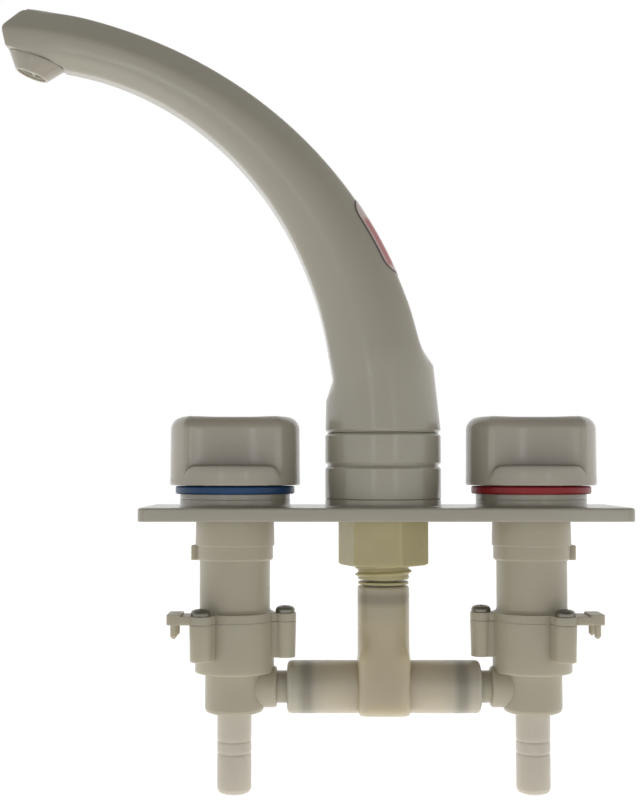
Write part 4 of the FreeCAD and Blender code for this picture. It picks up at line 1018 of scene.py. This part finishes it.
def sky_strength(highest, low_front, high_front, back):
    """Strength that falls from the horizon up in front, is even behind, and gains some at the sides."""
    front = node(tree, "MapRange", {**SMOOTH, "From Min": 0.08, "From Max": highest, "To Min": low_front,
                                    "To Max": high_front, "Value": way["Z"]})
    both = node(tree, "MapRange", {**SMOOTH, "From Min": -0.3, "From Max": 0.6, "To Max": back,
                                   "To Min": front, "Value": way["Y"]})
    return node(tree, "Math", {"operation": "ADD", 0: both, 1: flank})


mirrored = node(tree, "MapRange", {"Value": rays["Is Glossy Ray"],
                                   "To Min": sky_strength(0.38, 1.06, 0.12, 1.15),
                                   "To Max": sky_strength(0.6, 1.0, 0.15, 1.0)})
seen = node(tree, "Math", {"operation": "MAXIMUM", 0: rays["Is Camera Ray"], 1: rays["Is Transmission Ray"]})
strength = node(tree, "MapRange", {"To Max": 1.0, "To Min": mirrored, "Value": seen})
sky = node(tree, "Background", {"Color": WHITE, "Strength": strength})
node(tree, "OutputWorld", {"Surface": sky})
print("sky: white to the camera, shaded for the object")

# %% Floor
FAR, FLOOR_Z, GLOW_NEAR, GLOW_FAR, GLOW_SEEN, GLOW_SHARE = 2500, INLET_END - 1, 1.15, 1.4, 1.16, 0.86
corners = [(x, y, FLOOR_Z) for x, y in ((-FAR, -FAR), (FAR, -FAR), (FAR, FAR), (-FAR, FAR))]
floor = solid("floor", corners, [(0, 1, 2, 3)])
paper = bpy.data.materials.new("Paper_white_matt")
tree = empty_tree(paper)
place = node(tree, "TexCoord").outputs["Object"]
fibres = node(tree, "TexNoise", {"Scale": 1000 / 1.5, "Detail": 2.0, "Vector": place})
bump = node(tree, "Bump", {"Distance": 0.05 * MM, "Strength": 0.3, "Height": fibres.outputs["Fac"]})
matt = node(tree, "BsdfDiffuse", {"Color": linear("#f2f1ee"), "Normal": bump})
depth = node(tree, "SeparateXYZ", {"Vector": place}).outputs["Y"]
deeper = node(tree, "MapRange", {**SMOOTH, "From Min": -120 * MM, "From Max": 120 * MM, "To Min": GLOW_NEAR,
                                 "To Max": GLOW_FAR, "Value": depth})
direct = node(tree, "LightPath").outputs["Is Camera Ray"]
seen = node(tree, "MapRange", {"To Max": GLOW_SEEN, "To Min": deeper, "Value": direct})
glow = node(tree, "Emission", {"Color": WHITE, "Strength": seen})
mixed = node(tree, "MixShader", {"Fac": GLOW_SHARE, 1: matt, 2: glow})
node(tree, "OutputMaterial", {"Surface": mixed})
floor.data.materials.append(paper)
print("floor at", FLOOR_Z, "mm")

# %% Strip lamps
LAMP_WIDTH, LAMP_HEIGHT, LAMP_AWAY, LAMP_POWER = 80, 1000, 3000, 1.5
for name, azimuth in (("strip_left", -21.0), ("strip_right", 22.0)):
    lamp = bpy.data.lights.new(name, "AREA")
    lamp.shape, lamp.energy = "RECTANGLE", LAMP_POWER
    lamp.size, lamp.size_y = LAMP_WIDTH * MM, LAMP_HEIGHT * MM
    strip, angle = in_scene(name, lamp), math.radians(azimuth)
    strip.location = [LAMP_AWAY * MM * part for part in (math.sin(angle), -math.cos(angle), 0)]
    strip.rotation_euler = (math.radians(90), 0, angle)
    print(name, "at", azimuth, "degrees")

# %% [markdown]
# ## Look through a plain view transform
# The Standard view keeps each colour as written.

# %% Finish
bpy.context.scene.view_settings.view_transform = "Standard"
